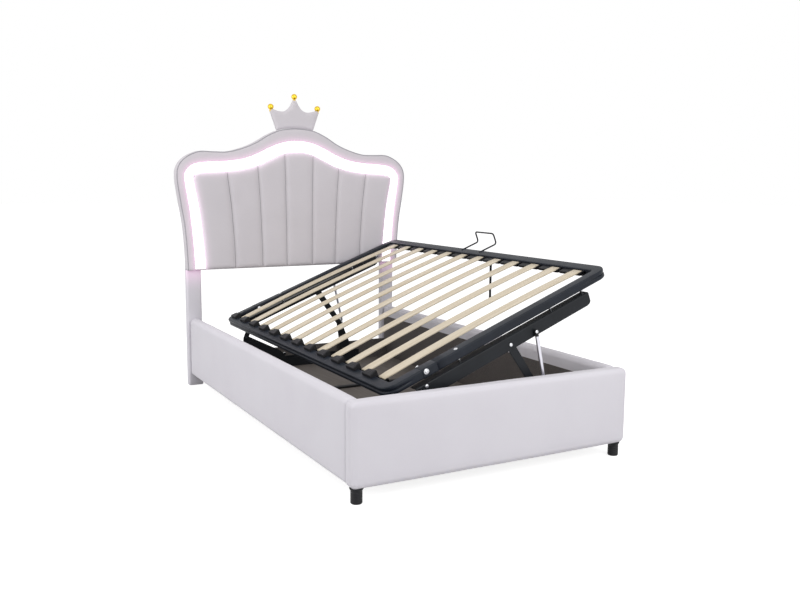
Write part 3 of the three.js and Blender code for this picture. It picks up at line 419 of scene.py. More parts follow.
def modify(piece, name, kind, **settings):
    modifier = piece.modifiers.new(name, kind)
    for key, value in settings.items():
        setattr(modifier, key, value)
    return modifier


def rounded_edges(piece, width, segments=2, angle=35):
    """Breaks the sharp edges of a piece, as every real edge is."""
    modify(piece, "edges", "BEVEL", width=width, segments=segments, limit_method="ANGLE",
           angle_limit=math.radians(angle))


def sweep(profile, path, first_side):
    """Carries a closed profile along a path without twisting it."""
    side, rows = Vector(first_side), []
    for i, point in enumerate(path):
        along = (path[min(i + 1, len(path) - 1)] - path[max(i - 1, 0)]).normalized()
        side = (side - side.dot(along) * along).normalized()
        other = along.cross(side)
        rows.append([point + u * side + v * other for u, v in profile])
    return loft(rows, round_across=True)


def ring(radius, sides):
    return [(radius * math.cos(2 * math.pi * i / sides), radius * math.sin(2 * math.pi * i / sides))
            for i in range(sides)]


def merge(*parts):
    """Joins several lists of points and faces into one."""
    points, faces = [], []
    for part_points, part_faces in parts:
        faces += [tuple(i + len(points) for i in face) for face in part_faces]
        points += list(part_points)
    return points, faces


print("piece helpers ready")

# %% [markdown]
# The base panels are boards wrapped in foam and cloth. A box with bevelled
# edges would look like wood, so each panel starts as a fine grid over all
# six faces, every point near an edge is moved onto a rounded edge, and the
# outer faces swell a few millimetres. The cloth turns over the top, and the
# dark lining covers the inside below it.

# %% Padded slab helper
def grid_lines(low, high, radius, spacing, extra=()):
    arc = [radius * (1 - math.cos(math.pi / 2 * i / 7)) for i in range(8)]
    near, far = [low + a for a in arc], [high - a for a in reversed(arc)]
    count = max(1, round((high - low - 2 * radius) / spacing))
    middle = [low + radius + (high - low - 2 * radius) * i / count for i in range(1, count)]
    return sorted(near + middle + far + list(extra))


def padded_slab(low, high, radius, spacing, swell=(0, 0, 0), extra=((), (), ())):
    """A closed grid over a box, rounded by radius on each axis and swollen on its faces."""
    axes = range(3)
    ripple_scale, ripple_height = 9.0, 0.0007
    lines = [grid_lines(low[k], high[k], radius[k], spacing[k], extra[k]) for k in axes]
    found, points, faces = {}, [], []

    def corner(key):
        if key not in found:
            p = Vector([lines[n][key[n]] for n in axes])
            inner = Vector([min(max(p[n], low[n] + radius[n]), high[n] - radius[n]) for n in axes])
            away = Vector([(p[n] - inner[n]) / radius[n] for n in axes])
            if away.length > 0:
                away.normalize()
            moved = inner + Vector([away[n] * radius[n] for n in axes])
            share = [(2 * p[n] - low[n] - high[n]) / (high[n] - low[n]) for n in axes]
            for n in axes:
                moved[n] += away[n] * swell[n] * math.prod(1 - abs(share[m]) ** 6 for m in axes if m != n)
            ripple = noise.noise(moved * ripple_scale) * ripple_height
            points.append(moved + away * ripple)
            found[key] = len(points) - 1
        return found[key]

    for axis in axes:
        first, second = [n for n in axes if n != axis]
        for fixed in (0, len(lines[axis]) - 1):
            for a in range(len(lines[first]) - 1):
                for b in range(len(lines[second]) - 1):
                    face = []
                    for da, db in ((0, 0), (1, 0), (1, 1), (0, 1)):
                        index = [fixed] * 3
                        index[first], index[second] = a + da, b + db
                        face.append(corner(tuple(index)))
                    faces.append(tuple(face))
    return points, faces


lining_foot, lining_top = 0.07, 0.332


def line_inside(piece, axis, inner_side, inner_at):
    """Gives the lining's finish to the faces on the inside of a panel."""
    piece.data.materials.append(lining.material)
    count = 0
    for face in piece.data.polygons:
        inside = (face.center[axis] - inner_at) * inner_side > -0.0035
        if inside and face.normal[axis] * inner_side > 0.8 and lining_foot < face.center.z < lining_top:
            face.material_index = 1
            count += 1
    return count


print("slab helper ready")

# %% [markdown]
# The foot panel closes the end that faces the camera, and the side panels
# run back from it to the headboard. They stand a hair apart, so that the
# seam at each corner shows as a real joint would.

# %% Foot panel and side panels
low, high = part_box("foot_panel")
panel = padded_slab(low, high, (0.026, 0.018, 0.024), (0.06, 0.03, 0.03),
                    swell=(0.0015, 0.0035, 0.002), extra=((), (), (lining_top,)))
piece = add_piece("foot_panel_padded", *panel, "base", base_cloth, ("foot_panel",), soft=0.9)
print("foot panel:", len(panel[1]), "faces,", line_inside(piece, 1, 1, high.y), "of them lined")

end_room = Vector((0, 0.0006, 0))
for word, outward in (("left", -1), ("right", 1)):
    low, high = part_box("side_panel_" + word)
    panel = padded_slab(low + end_room, high - end_room, (0.026, 0.016, 0.024), (0.03, 0.06, 0.03),
                        swell=(0.002, 0, 0.002), extra=((), (), (lining_top,)))
    piece = add_piece("side_panel_%s_padded" % word, *panel, "base", base_cloth,
                      ("side_panel_" + word,), soft=0.9)
    lined = line_inside(piece, 0, -outward, low.x if outward > 0 else high.x)
    print("side panel", word + ":", len(panel[1]), "faces,", lined, "of them lined")

# %% [markdown]
# The two headboard legs are narrow padded posts of the same cloth. The light
# strip ends just above them and tints their tops. Each point stores how near
# it is to the strip, and the cloth finish turns that into a faint pink glow.

# %% Headboard legs
light_reach, leg_light = 0.07, 0.9


def store_glow(piece, nearness):
    values = [max(0.0, min(1.0, nearness(v.co))) for v in piece.data.vertices]
    attribute = piece.data.attributes.new("near_light", "FLOAT", "POINT")
    attribute.data.foreach_set("value", values)
    return max(values)


def leg_glow(p):
    """The strip lights the front of a leg's top, and not the strap behind the board."""
    in_front = p.y < 1.075 and p.z < 0.7
    return leg_light * math.exp(-((leg_top - p.z) / light_reach) ** 2) if in_front else 0.0


leg_foot, leg_top, leg_back = 0.0007, 0.6796, 1.1075
strap_front, strap_foot, strap_inset = 1.0908, 0.6496, 0.002
for word, more_left, more_right in (("left", 0, 0.010), ("right", 0.010, 0)):
    low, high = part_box("headboard_leg_" + word)
    post = padded_slab((low.x - more_left, low.y, leg_foot), (high.x + more_right, leg_back, leg_top),
                       (0.012, 0.012, 0.006), (0.03, 0.03, 0.02))
    strap = padded_slab((low.x + strap_inset, strap_front, strap_foot),
                        (high.x - strap_inset, leg_back, high.z), (0.006, 0.004, 0.006), (0.03, 0.03, 0.05))
    leg = add_piece("headboard_leg_%s_padded" % word, *merge(post, strap), "base", base_cloth,
                    ("headboard_leg_" + word,), soft=0.95)
    print("leg", word + ": glow up to", round(store_glow(leg, leg_glow), 2))

# %% [markdown]
# The headboard's outline is drawn with the same shares of width and height
# as the solid, on one half, mirrored, and joined by a smooth curve. Three
# such arches give the board's edge, the outer edge of the light strip and
# the pad's edge. Each is then cut into equally many steps by length, so that
# rows of faces can run from one to the next.

# %% Arches of the headboard
board_shares = [
    (0.929, 0), (0.936, 0.16), (0.95, 0.317), (0.977, 0.475), (1, 0.633), (0.988, 0.717),
    (0.929, 0.779), (0.824, 0.822), (0.71, 0.823), (0.59, 0.825), (0.46, 0.855),
    (0.357, 0.893), (0.257, 0.945), (0.162, 0.982), (0.08, 0.996), (0, 1)]
strip_shares = [
    (0.926, 0), (0.937, 0.2), (0.962, 0.45), (1, 0.69), (0.985, 0.76), (0.916, 0.809),
    (0.78, 0.827), (0.648, 0.833), (0.5, 0.853), (0.374, 0.892), (0.272, 0.937),
    (0.172, 0.975), (0.08, 0.995), (0, 1)]
pad_shares = [
    (0.907, 0), (0.918, 0.2), (0.952, 0.5), (1, 0.755), (0.985, 0.793), (0.94, 0.81),
    (0.83, 0.818), (0.706, 0.823), (0.55, 0.843), (0.403, 0.877), (0.295, 0.922),
    (0.186, 0.968), (0.09, 0.994), (0, 1)]


def smooth_line(points, count):
    """A curve that passes through every point."""
    last = len(points) - 1
    line = []
    for k in range(count + 1):
        i = min(int(last * k / count), last)
        w = last * k / count - i
        p0, p1, p2, p3 = (points[min(max(i + step, 0), last)] for step in (-1, 0, 1, 2))
        v0, v1 = (p2 - p0) / 2, (p3 - p1) / 2
        line.append((2 * p1 - 2 * p2 + v0 + v1) * w ** 3 + (3 * p2 - 3 * p1 - 2 * v0 - v1) * w ** 2
                    + v0 * w + p1)
    return line


def length_of(line):
    return sum((b - a).length for a, b in zip(line, line[1:]))


def even_steps(line, count):
    """The same line with equally long steps."""
    lengths = [0.0]
    for a, b in zip(line, line[1:]):
        lengths.append(lengths[-1] + (b - a).length)
    even, i = [], 0
    for k in range(count + 1):
        want = lengths[-1] * k / count
        while i < len(line) - 2 and lengths[i + 1] < want:
            i += 1
        span = lengths[i + 1] - lengths[i]
        even.append(line[i].lerp(line[i + 1], (want - lengths[i]) / span if span else 0))
    return even


def arch(shares, half_width, foot, top):
    """A whole arch in equal steps, from one foot over the top to the other."""
    one_side = [Vector((x * half_width, foot + z * (top - foot))) for x, z in shares]
    other_side = [Vector((-p.x, p.y)) for p in reversed(one_side[:-1])]
    line = even_steps(smooth_line(one_side + other_side, 600), arch_steps)
    line[0].y = line[-1].y = foot
    return line


arch_steps = 260
board_half, board_foot, board_top = 0.728, 0.680, 1.501
strip_half, strip_top = 0.680, 1.425
pad_half, pad_foot, pad_top = 0.633, 0.681, 1.362
board_arch = arch(board_shares, board_half, board_foot, board_top)
strip_arch = arch(strip_shares, strip_half, board_foot, strip_top)
pad_arch = arch(pad_shares, pad_half, pad_foot, pad_top)
print("arch lengths:", [round(length_of(line), 3) for line in (board_arch, strip_arch, pad_arch)])

# %% [markdown]
# The shell of the headboard is one loft from the back, round the outer edge
# with its thin piping, over the front face and down into the recess of the
# light strip. The front face swells slightly between the piping and the
# strip. The cloth beside the strip stores how near the light is.

# %% Headboard shell
board_front, board_back = 1.0205, 1.0905
recess_floor = board_front + 0.010


def inward(line, i):
    along = line[min(i + 1, len(line) - 1)] - line[max(i - 1, 0)]
    along.normalize()
    return Vector((-along.y, along.x))


def way_in(i):
    """The way from the board's edge to its middle, level at both feet."""
    return Vector((-1 if i == 0 else 1, 0)) if i in (0, arch_steps) else inward(board_arch, i)


def at_depth(point, y):
    return Vector((point.x, y, point.y))


outer_section = [
    (0.034, board_back - 0.0035), (0.031, board_back - 0.003), (0.029, board_back - 0.0004),
    (0.018, board_back), (0.010, board_back - 0.001), (0.005, board_back - 0.003),
    (0.0015, board_back - 0.007), (0, board_back - 0.013), (0, board_back - 0.03),
    (0, board_front + 0.03), (0, board_front + 0.013), (0.0006, board_front + 0.0085),
    (0.0026, board_front + 0.0062), (0.0048, board_front + 0.0048), (0.0068, board_front + 0.0024),
    (0.0095, board_front + 0.0006)]
face_section = [(0.12, -0.0004), (0.3, -0.0016), (0.5, -0.0022), (0.7, -0.0018), (0.86, -0.0004),
                (0.93, 0.0006), (0.975, 0.0022), (0.993, 0.0042)]
rows = []
for i in range(arch_steps + 1):
    edge, strip, way = board_arch[i], strip_arch[i], way_in(i)
    row = [at_depth(edge + inset * way, y) for inset, y in outer_section]
    start = edge + outer_section[-1][0] * way
    row += [at_depth(start.lerp(strip, share), board_front + drop) for share, drop in face_section]
    row += [at_depth(strip, board_front + 0.0065), at_depth(strip, recess_floor)]
    for point in row:
        point.z = max(point.z, board_foot)
    rows.append(row)
shell_points, shell_faces = loft(rows)
across = len(rows[0])
back_face = tuple(r * across for r in range(arch_steps + 1))
recess_face = tuple(r * across + across - 1 for r in range(arch_steps, -1, -1))
foot_face = tuple(range(across)) + tuple(arch_steps * across + c for c in reversed(range(across)))
shell_faces += [back_face, recess_face, foot_face]
shell = add_piece("headboard_shell_padded", shell_points, shell_faces, "base", headboard_cloth,
                  ("headboard_shell",), soft=0.9)


def gap_to(line, x, z):
    return min(math.hypot(p.x - x, p.y - z) for p in line[::2])


def light_from(line, p):
    """The share of the strip's light at a point, which fades away from the line."""
    return math.exp(-(gap_to(line, p.x, p.z) / glow_width) ** 1.4)


glow_width = 0.019
store_glow(shell, lambda p: 0.0 if p.y > board_front + 0.008 else light_from(strip_arch, p))
print("shell:", len(shell.data.polygons), "faces")

# %% [markdown]
# A thin piping covers the seam round the headboard's front edge. It is a
# cord sewn into a fold of cloth, so a small round section is carried along
# the arch, just inside the edge and half sunk into the cloth.

# %% Piping round the headboard's front edge
piping_radius, piping_inset, piping_depth = 0.0026, 0.0032, board_front + 0.0034
piping_path = [at_depth(edge + piping_inset * way_in(i), piping_depth) for i, edge in enumerate(board_arch)]
# Its darker cloth is partly its own tone and partly painted shade for the dark line along the edge.
add_piece("headboard_piping", *sweep(ring(piping_radius, 10), piping_path, (0, 1, 0)), "base", piping_tone_and_painted_shade)
print("piping:", round(length_of(piping_path), 2), "m long")

# %% [markdown]
# The pad has seven upright channels. Sewing pins the cloth down along each
# seam and round the edge, and the foam pushes it out in between. That is
# what a cloth simulation does well: a flat grid is pinned along the seams
# and blown out by a little pressure. How far it may come is capped, because
# the foam is only 14 mm thick.

# %% Grid of the pad
seam_shares = [-1, -0.688, -0.396, -0.129, 0.157, 0.424, 0.716, 1]
pad_edge = 0.002
grid_half, grid_height = pad_half - pad_edge, pad_top - pad_edge - pad_foot
pad_side_front = recess_floor - 0.0065
channel_columns, pad_rows, rounded_rows = 16, 72, 3.5
half_pad = even_steps(smooth_line([Vector((x * grid_half, pad_foot + z * grid_height))
                                   for x, z in pad_shares], 500), 300)
corner_at = max(range(len(half_pad)), key=lambda i: half_pad[i].x)
pad_corner = half_pad[corner_at]


def read_across(line, key, value, other):
    """The other coordinate of a line where one coordinate has a value."""
    for a, b in zip(line, line[1:]):
        low, high = sorted((a[key], b[key]))
        if low <= value <= high:
            share = (value - a[key]) / (b[key] - a[key]) if b[key] != a[key] else 0
            return a[other] + share * (b[other] - a[other])
    return line[0][other] if abs(value - line[0][key]) < abs(value - line[-1][key]) else line[-1][other]


def half_width_at(z):
    return read_across(half_pad[:corner_at + 1], 1, min(z, pad_corner.y), 0)


def top_at(x):
    return read_across(half_pad[corner_at:], 0, min(abs(x), pad_corner.x), 1)


columns = []
for c in range(len(seam_shares) - 1):
    for k in range(channel_columns):
        share = k / channel_columns
        columns.append((seam_shares[c] + share * (seam_shares[c + 1] - seam_shares[c]), share))
columns.append((1.0, 0.0))
pad_rows_of_points, foam_shape, held = [], [], []
for r in range(pad_rows + 1):
    up_share = r / pad_rows
    row_half = half_width_at(pad_foot + up_share * (pad_corner.y - pad_foot))
    from_ends = min(1.0, min(r, pad_rows - r) / rounded_rows)
    row = []
    for across, share in columns:
        z = pad_foot + up_share * (top_at(across * pad_corner.x) - pad_foot)
        on_rim = r in (0, pad_rows) or abs(across) == 1
        puff = math.sqrt(max(0.0, 1 - (2 * share - 1) ** 6)) * math.sqrt(max(0.0, 1 - (1 - from_ends) ** 2))
        row.append(Vector((across * row_half, pad_side_front, z)))
        foam_shape.append(0.0 if on_rim else puff)
        held.append(on_rim or share == 0.0)
    pad_rows_of_points.append(row)
print("pad grid:", len(columns), "by", pad_rows + 1, "points,", sum(held), "of them sewn down")

# %% Blow the channels out
def blown_up(points, faces, held=(), **settings):
    """Where the points of a cloth come to rest under pressure, with some of them held."""
    mesh = bpy.data.meshes.new("cloth")
    mesh.from_pydata(points, [], faces)
    cloth = new_object("cloth", mesh)
    modifier = modify(cloth, "cloth", "CLOTH")
    modifier.collision_settings.use_collision = False
    modifier.settings.effector_weights.gravity = 0
    if held:
        cloth.vertex_groups.new(name="sewn").add(held, 1.0, "REPLACE")
        settings["vertex_group_mass"] = "sewn"
    for key, value in dict(settings, quality=6, use_pressure=True, uniform_pressure_force=4.0).items():
        setattr(modifier.settings, key, value)
    for step in range(1, 21):
        bpy.context.scene.frame_set(step)
    result = cloth.evaluated_get(bpy.context.evaluated_depsgraph_get())
    moved = [v.co.copy() for v in result.data.vertices]
    bpy.context.scene.frame_set(1)
    bpy.data.objects.remove(cloth)
    bpy.data.meshes.remove(mesh)
    return moved


def capped(way, longest):
    """A way that is cut to its longest length."""
    return way * (longest / way.length) if way.length > longest else way


foam_rise, most_slack = 0.0145, 0.002
flat_points, flat_faces = loft(pad_rows_of_points)
sewn = [i for i, is_held in enumerate(held) if is_held]
simulated = blown_up(flat_points, flat_faces, sewn, mass=0.25, tension_stiffness=12,
                     compression_stiffness=12, shear_stiffness=6, bending_stiffness=0.4,
                     shrink_min=-0.03)
forward_way = -1 if sum(p.y - q.y for p, q in zip(simulated, flat_points)) < 0 else 1
blown = []
for p, q, f in zip(simulated, flat_points, foam_shape):
    come = foam_rise * f * (0.86 + 0.14 * math.tanh(forward_way * (p.y - q.y) / foam_rise))
    slack = capped(Vector((p.x - q.x, 0, p.z - q.z)), most_slack)
    blown.append(q + Vector((0, -come, 0)) + slack * f)
print("pad comes forward by", round(1000 * max(q.y - p.y for p, q in zip(blown, flat_points)), 1), "mm")

# %% [markdown]
# The blown cloth is open at the back, so its rim is drawn back to the board
# and closed. A thin thread of darker cloth then follows each seam. Its colour
# is painted shade: the fold of a real seam lies in shade and reads as a fine
# dark line.

# %% Close the pad and sew its seams
wide = len(columns)
rim = list(range(wide)) + [r * wide + wide - 1 for r in range(1, pad_rows + 1)]
rim += [pad_rows * wide + c for c in range(wide - 2, -1, -1)]
rim += [r * wide for r in range(pad_rows - 1, 0, -1)]
rim_back = recess_floor - 0.0004
pad_points = list(blown) + [Vector((blown[index].x, rim_back, blown[index].z)) for index in rim]
start = len(blown)
pad_faces = list(flat_faces)
for i, index in enumerate(rim):
    j = (i + 1) % len(rim)
    pad_faces.append((index, rim[j], start + j, start + i))
pad_faces.append(tuple(range(start, start + len(rim))))
pad = add_piece("headboard_pad_channelled", pad_points, pad_faces, "base", headboard_cloth,
                ("headboard_pad",), soft=0.8)
pad_light = 0.55
store_glow(pad, lambda p: pad_light * light_from(pad_arch, p)
           if p.z > pad_foot + 0.02 or abs(p.x) > 0.5 else 0.0)
thread_radius, thread_out = 0.0011, Vector((0, -0.0012, 0))
seam_parts = []
for c in range(1, len(seam_shares) - 1):
    path = [blown[r * wide + c * channel_columns] + thread_out for r in range(1, pad_rows)]
    seam_parts.append(sweep(ring(thread_radius, 6), path, (1, 0, 0)))
# The dark threads are painted shade for the folds of the seams.
add_piece("headboard_pad_seams", *merge(*seam_parts), "base", seam_shade_cloth)
print("seams:", len(seam_parts))

# %% [markdown]
# The light strip lies in the recess between the shell and the pad. It is a
# white silicone band with a low crown, lit from within. A narrow dark gap on
# each side would never show beside so much light, so it fills the recess.

# %% Light strip
strip_front, strip_foot = recess_floor - 0.006, 0.687
strip_section = ((0, -0.0055), (0, 0), (0.06, 0.0012), (0.2, 0.0022), (0.5, 0.0028), (0.8, 0.0022),
                 (0.94, 0.0012), (1, 0), (1, -0.0055))
strip_rows = []
for i in range(arch_steps + 1):
    outer = strip_arch[i] + 0.0004 * inward(strip_arch, i)
    row = [at_depth(outer.lerp(pad_arch[i], share), strip_front - rise) for share, rise in strip_section]
    for point in row:
        point.z = max(point.z, strip_foot)
    strip_rows.append(row)
strip = add_piece("light_strip_lit", *loft(strip_rows, round_across=True), "base", light_strip,
                  ("led_strip",))
print("light strip:", round(length_of(strip_arch), 1), "m round,", len(strip.data.polygons), "faces")

# %% [markdown]
# The crown is a small padded shape that stands on the arch. It is made as a
# pad is: a thin flat core in the crown's outline is turned into an even
# skin of small faces, blown up by the cloth simulation, and capped so that
# it keeps its outline.

# %% Outline of the crown
crown_front = board_front + 0.034
crown_depth = 0.030
tip_z, valley_z, crown_top = 1.607, 1.599, 1.671
tip_half, valley_half, base_half, tip_radius = 0.156, 0.085, 0.116, 0.012


def bent(a, b, c, count=8):
    """Points of a curve from a to c that is pulled towards b."""
    a, b, c = Vector(a), Vector(b), Vector(c)
    return [a * (1 - t) ** 2 + 2 * b * t * (1 - t) + c * t * t for t in (k / count for k in range(count))]


def crown_outline(inset):
    tip, valley, top = tip_z - inset, valley_z - inset, crown_top - inset
    tip_out, tip_in, top_start = tip_half - inset, tip_half - tip_radius, top - tip_radius / 2
    right_side = [Vector((base_half - inset, 0))]
    right_side += bent((tip_out, tip_z - tip_radius), (tip_out, tip), (tip_in, tip), 6)
    right_side += bent((tip_in, tip), (valley_half + 0.016, valley), (valley_half, valley))
    right_side += bent((valley_half, valley), (valley_half / 2, valley), (tip_radius, top_start))
    right_side += bent((tip_radius, top_start), (0.006, top), (0, top), 4)
    foot = [p for p in board_arch if abs(p.x) < base_half - inset and p.y > 1.4]
    right_side[0].y = min(p.y for p in foot) + 0.0004 + inset
    left_side = [Vector((-p.x, p.y)) for p in reversed(right_side)]
    base = [Vector((p.x, p.y + 0.0006 + inset)) for p in reversed(foot)]
    return right_side + [Vector((0, top))] + left_side + base


crown_middle = crown_front + crown_depth / 2
print("crown outline:", len(crown_outline(0)), "points")

# %% Crown pad
def crown_skin(inset, depth, voxel):
    """An even skin of small faces round a flat core in the crown's outline."""
    core = [[at_depth(p, crown_middle + side * depth / 2) for p in crown_outline(inset)] for side in (-1, 1)]
    mesh = closed_mesh("crown_skin", *loft(core, round_across=True))
    skin = new_object("crown_skin", mesh)
    modify(skin, "remesh", "REMESH", mode="VOXEL", voxel_size=voxel)
    modify(skin, "smooth", "SMOOTH", factor=0.5, iterations=4)
    done = skin.evaluated_get(bpy.context.evaluated_depsgraph_get())
    points = [v.co.copy() for v in done.data.vertices]
    faces = [tuple(p.vertices) for p in done.data.polygons]
    bpy.data.objects.remove(skin)
    bpy.data.meshes.remove(mesh)
    return points, faces


most_blown, quick_swell = 0.0045, 0.003
core_inset, core_depth, face_size = -0.0035, 0.019, 0.0045
crown_points, crown_faces = crown_skin(core_inset, core_depth, face_size)
crown_points = [p + capped(q - p, most_blown)
                for p, q in zip(crown_points, blown_up(crown_points, crown_faces))]
crown = add_piece("crown_padded", crown_points, crown_faces, "base", headboard_cloth, ("crown_pad",),
                  soft=0.8)
modify(crown, "finer", "SUBSURF", levels=1, render_levels=1)
print("crown from", [round(min(p[k] for p in crown_points), 3) for k in range(3)],
      "to", [round(max(p[k] for p in crown_points), 3) for k in range(3)])

# %% [markdown]
# Three gold balls top the crown. A lathe profile gives each its short
# collar and a true sphere, with enough steps that its outline is round.

# %% Gold balls
def lathe(profile, sides=24):
    """Turns a profile of radius and height pairs about an upright axis."""
    smallest = 0.00002
    return loft([[Vector((x, y, height)) for x, y in ring(max(radius, smallest), sides)]
                 for radius, height in profile], round_across=True)


def laid(part, axes):
    """A part laid in other axes, or only moved if these are a place."""
    if not isinstance(axes, Matrix):
        axes = Matrix.Translation(axes)
    return [axes @ p for p in part[0]], part[1]


ball_radius, collar_radius, collar_height = 0.0175, 0.008, 0.008
start_angle = -math.acos(collar_radius / ball_radius)
ball_centre = collar_height - ball_radius * math.sin(start_angle)
ball_profile = [(collar_radius * 0.9, -0.004), (collar_radius, -0.003), (collar_radius, collar_height * 0.3),
                (collar_radius * 1.12, collar_height * 0.42), (collar_radius * 1.12, collar_height * 0.6),
                (collar_radius * 0.92, collar_height * 0.75)]
for k in range(25):
    angle = start_angle + (math.pi / 2 - start_angle) * k / 24
    ball_profile.append((ball_radius * math.cos(angle), ball_centre + ball_radius * math.sin(angle)))
for word, x, z in (("centre", 0, 1.664), ("left", -0.149, 1.600), ("right", 0.149, 1.600)):
    ball = add_piece("crown_ball_%s_gold" % word, *laid(lathe(ball_profile, 40), (x, crown_middle, z)),
                     "base", gold, ("crown_ball_" + word,))
    print(ball.name, "at", round(z + ball_centre, 3))

# %% [markdown]
# The back of the headboard is closed by a dark dust cloth over a board. The
# legs are screwed on from behind, and the light's inlet sits in the middle.

# %% Back of the headboard
def refinish(node, finish, edge=0.0):
    """Gives a solid its finish and, where an edge is asked for, a fine bevel."""
    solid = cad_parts[node]
    solid.data.materials.clear()
    solid.data.materials.append(finish.material)
    if edge:
        rounded_edges(solid, edge)


def facing_y(x, y, z, outward, size=1.0):
    """Axes that lay an upright part on its side, its top looking out along Y."""
    return Matrix(((size, 0, 0, x), (0, 0, outward, y), (0, -outward * size, 0, z), (0, 0, 0, 1)))


def screw_head(radius, height, foot, base=0.0, steps=(0.45, 0.75, 0.93)):
    """The profile of a domed head with a socket, from its foot to the socket's floor."""
    shares = zip((1, 0.93, 0.75, 0.5, 0.46, 0.42, 0), steps + (1, 1, 0.5, 0.5))
    return [(radius, foot)] + [(radius * across, base + height * up_share) for across, up_share in shares]


def bolt(radius=0.007, height=0.005):
    return lathe(screw_head(radius, height, 0.0))


refinish("headboard_back_panel", dust_cloth)
refinish("led_power_inlet", black_plastic, 0.001)
leg_bolt_x, leg_bolt_y = 0.636, 1.1072
leg_bolts = [laid(bolt(), facing_y(x, leg_bolt_y, z, 1)) for x in (-leg_bolt_x, leg_bolt_x)
             for z in (0.756, 1.074)]
add_piece("headboard_leg_bolts", *merge(*leg_bolts), "base", zinc)
print("bolts on the back:", len(leg_bolts))

# %% [markdown]
# Two round plastic feet carry the foot end. They are turned, with a flange
# under the panel, faint rings and a softened lower edge.

# %% Feet
foot_profile = [(0.0, 0.0), (0.018, 0.0), (0.0208, 0.0008), (0.0224, 0.0026), (0.023, 0.005)]
for z in (0.012, 0.022, 0.032, 0.042):
    foot_profile += [(0.023, z), (0.0224, z + 0.0008), (0.0224, z + 0.002), (0.023, z + 0.0028)]
foot_profile += [(0.023, 0.056), (0.0262, 0.0562), (0.027, 0.0572), (0.027, 0.0618), (0.0, 0.0618)]
for word in ("left", "right"):
    low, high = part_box("front_foot_" + word)
    centre = ((low.x + high.x) / 2, (low.y + high.y) / 2, 0)
    add_piece("front_foot_%s_turned" % word, *laid(lathe(foot_profile, 48), centre), "base", black_plastic,
              ("front_foot_" + word,))
refinish("centre_foot", black_plastic, 0.0008)
print("feet: 3")

# %% [markdown]
# The floor is three loose boards on cleats and a beam. They could be one
# board with lines drawn on it, but real joints catch the light, so each
# keeps its own solid, and a dark moulded strip covers each joint.

# %% Floor of the storage box
for number in (1, 2, 3):
    refinish("floor_board_%d" % number, board, 0.0008)
for word in ("left", "right"):
    refinish("floor_cleat_" + word, board, 0.001)
    refinish("corner_bracket_" + word, mechanism_paint, 0.0006)
refinish("head_rail", lining, 0.0015)
refinish("centre_beam", mechanism_paint, 0.0015)
board_top_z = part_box("floor_board_1")[1].z
strip_half_length = 0.6008
strip_row = [(-0.018, 0.0002), (-0.0176, 0.0098), (-0.0160, 0.0115), (0.0160, 0.0115), (0.0176, 0.0098),
             (0.018, 0.0002)]
strips = []
for number in (1, 2):
    joint_y = (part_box("floor_board_%d" % number)[1].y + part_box("floor_board_%d" % (number + 1))[0].y) / 2
    strips.append(loft([[Vector((x, joint_y + v, board_top_z + w)) for v, w in strip_row]
                        for x in (-strip_half_length, strip_half_length)], round_across=True))
add_piece("floor_joint_strips", *merge(*strips), "base", black_plastic)
print("boards: 3, joint strips:", len(strips))

# %% [markdown]
# Everything on the lifting frame is drawn level, in the frame's own axes: X
# from the resting side to the lifting side, Y to the head and Z up through
# the frame. One matrix then lays the pieces in place, tilted as the bed
# stands open, and a second one starts at the foot of the rails, which rest on
# spacers a little above the lifting bars. The rail is a flat tube, but along
# its bends and its two long sides a groove makes it look like two tubes. A
# section carried along the rail gets its groove little by little.

# %% Rails of the slat frame
frame_width, frame_length, frame_start = 1.182, 1.980, -1.0065
frame_end = frame_start + frame_length
lift_body = "slat_platform"
slat_axes = Matrix.Translation((-0.461, 0, 0.357)) @ Matrix.Rotation(-math.radians(21.45), 4, "Y")
rail_lift = 0.0065
rail_axes = slat_axes @ Matrix.Translation((0, 0, rail_lift))
rail_width, rail_height, corner_radius = 0.050, 0.039, 0.060
sleeve_at, groove_fades_at, groove_full_at = 0.245, 0.135, 0.055


def quarter(centre, radius, start, end, count=6):
    return [(centre[0] + radius * math.cos(math.radians(start + (end - start) * k / count)),
             centre[1] + radius * math.sin(math.radians(start + (end - start) * k / count)))
            for k in range(count + 1)]


def rail_section(groove):
    """The rail's outline for a groove from 0, flat, to 1, as deep as it gets."""
    half, middle, corner, lobe, lobe_drop = rail_width / 2, rail_height / 2, 0.0055, 0.0075, 0.0082
    low_side = quarter((half - corner, corner), corner, -90, 0)
    for u, v in quarter((half - lobe, middle - lobe_drop), lobe, 0, 78):
        low_side.append((half - groove * (half - u), v))
    right = low_side + [(u, rail_height - v) for u, v in reversed(low_side)]
    return right + [(-u, v) for u, v in reversed(right)]


def rail_piece(name, line, mirrored, nodes):
    rows = []
    for i, (a, y) in enumerate(line):
        before, after = line[max(i - 1, 0)], line[min(i + 1, len(line) - 1)]
        along = Vector((after[0] - before[0], after[1] - before[1])).normalized()
        share = min(1.0, max(0.0, (groove_fades_at - a) / (groove_fades_at - groove_full_at)))
        row = []
        for u, v in rail_section(share * share * (3 - 2 * share)):
            across, down = a + u * along.y, y - u * along.x
            row.append(Vector((frame_width - across if mirrored else across, frame_start + down, v)))
        rows.append(row)
    return add_piece(name, *loft(rows, round_across=True), lift_body, frame_paint, nodes, at=rail_axes)


def rail_line(leg_end):
    """The middle of a side rail with its two legs, as it lies on the left."""
    half = rail_width / 2
    legs = [leg_end + (corner_radius - leg_end) * k / 16 for k in range(16)]
    near, far, bend = corner_radius, frame_length - corner_radius, corner_radius - half
    line = [(a, half) for a in legs] + quarter((corner_radius, near), bend, 270, 180, 16)
    line += [(half, near + (far - near) * k / 12) for k in range(1, 12)]
    line += quarter((corner_radius, far), bend, 180, 90, 16)
    return line + [(a, frame_length - half) for a in reversed(legs)]


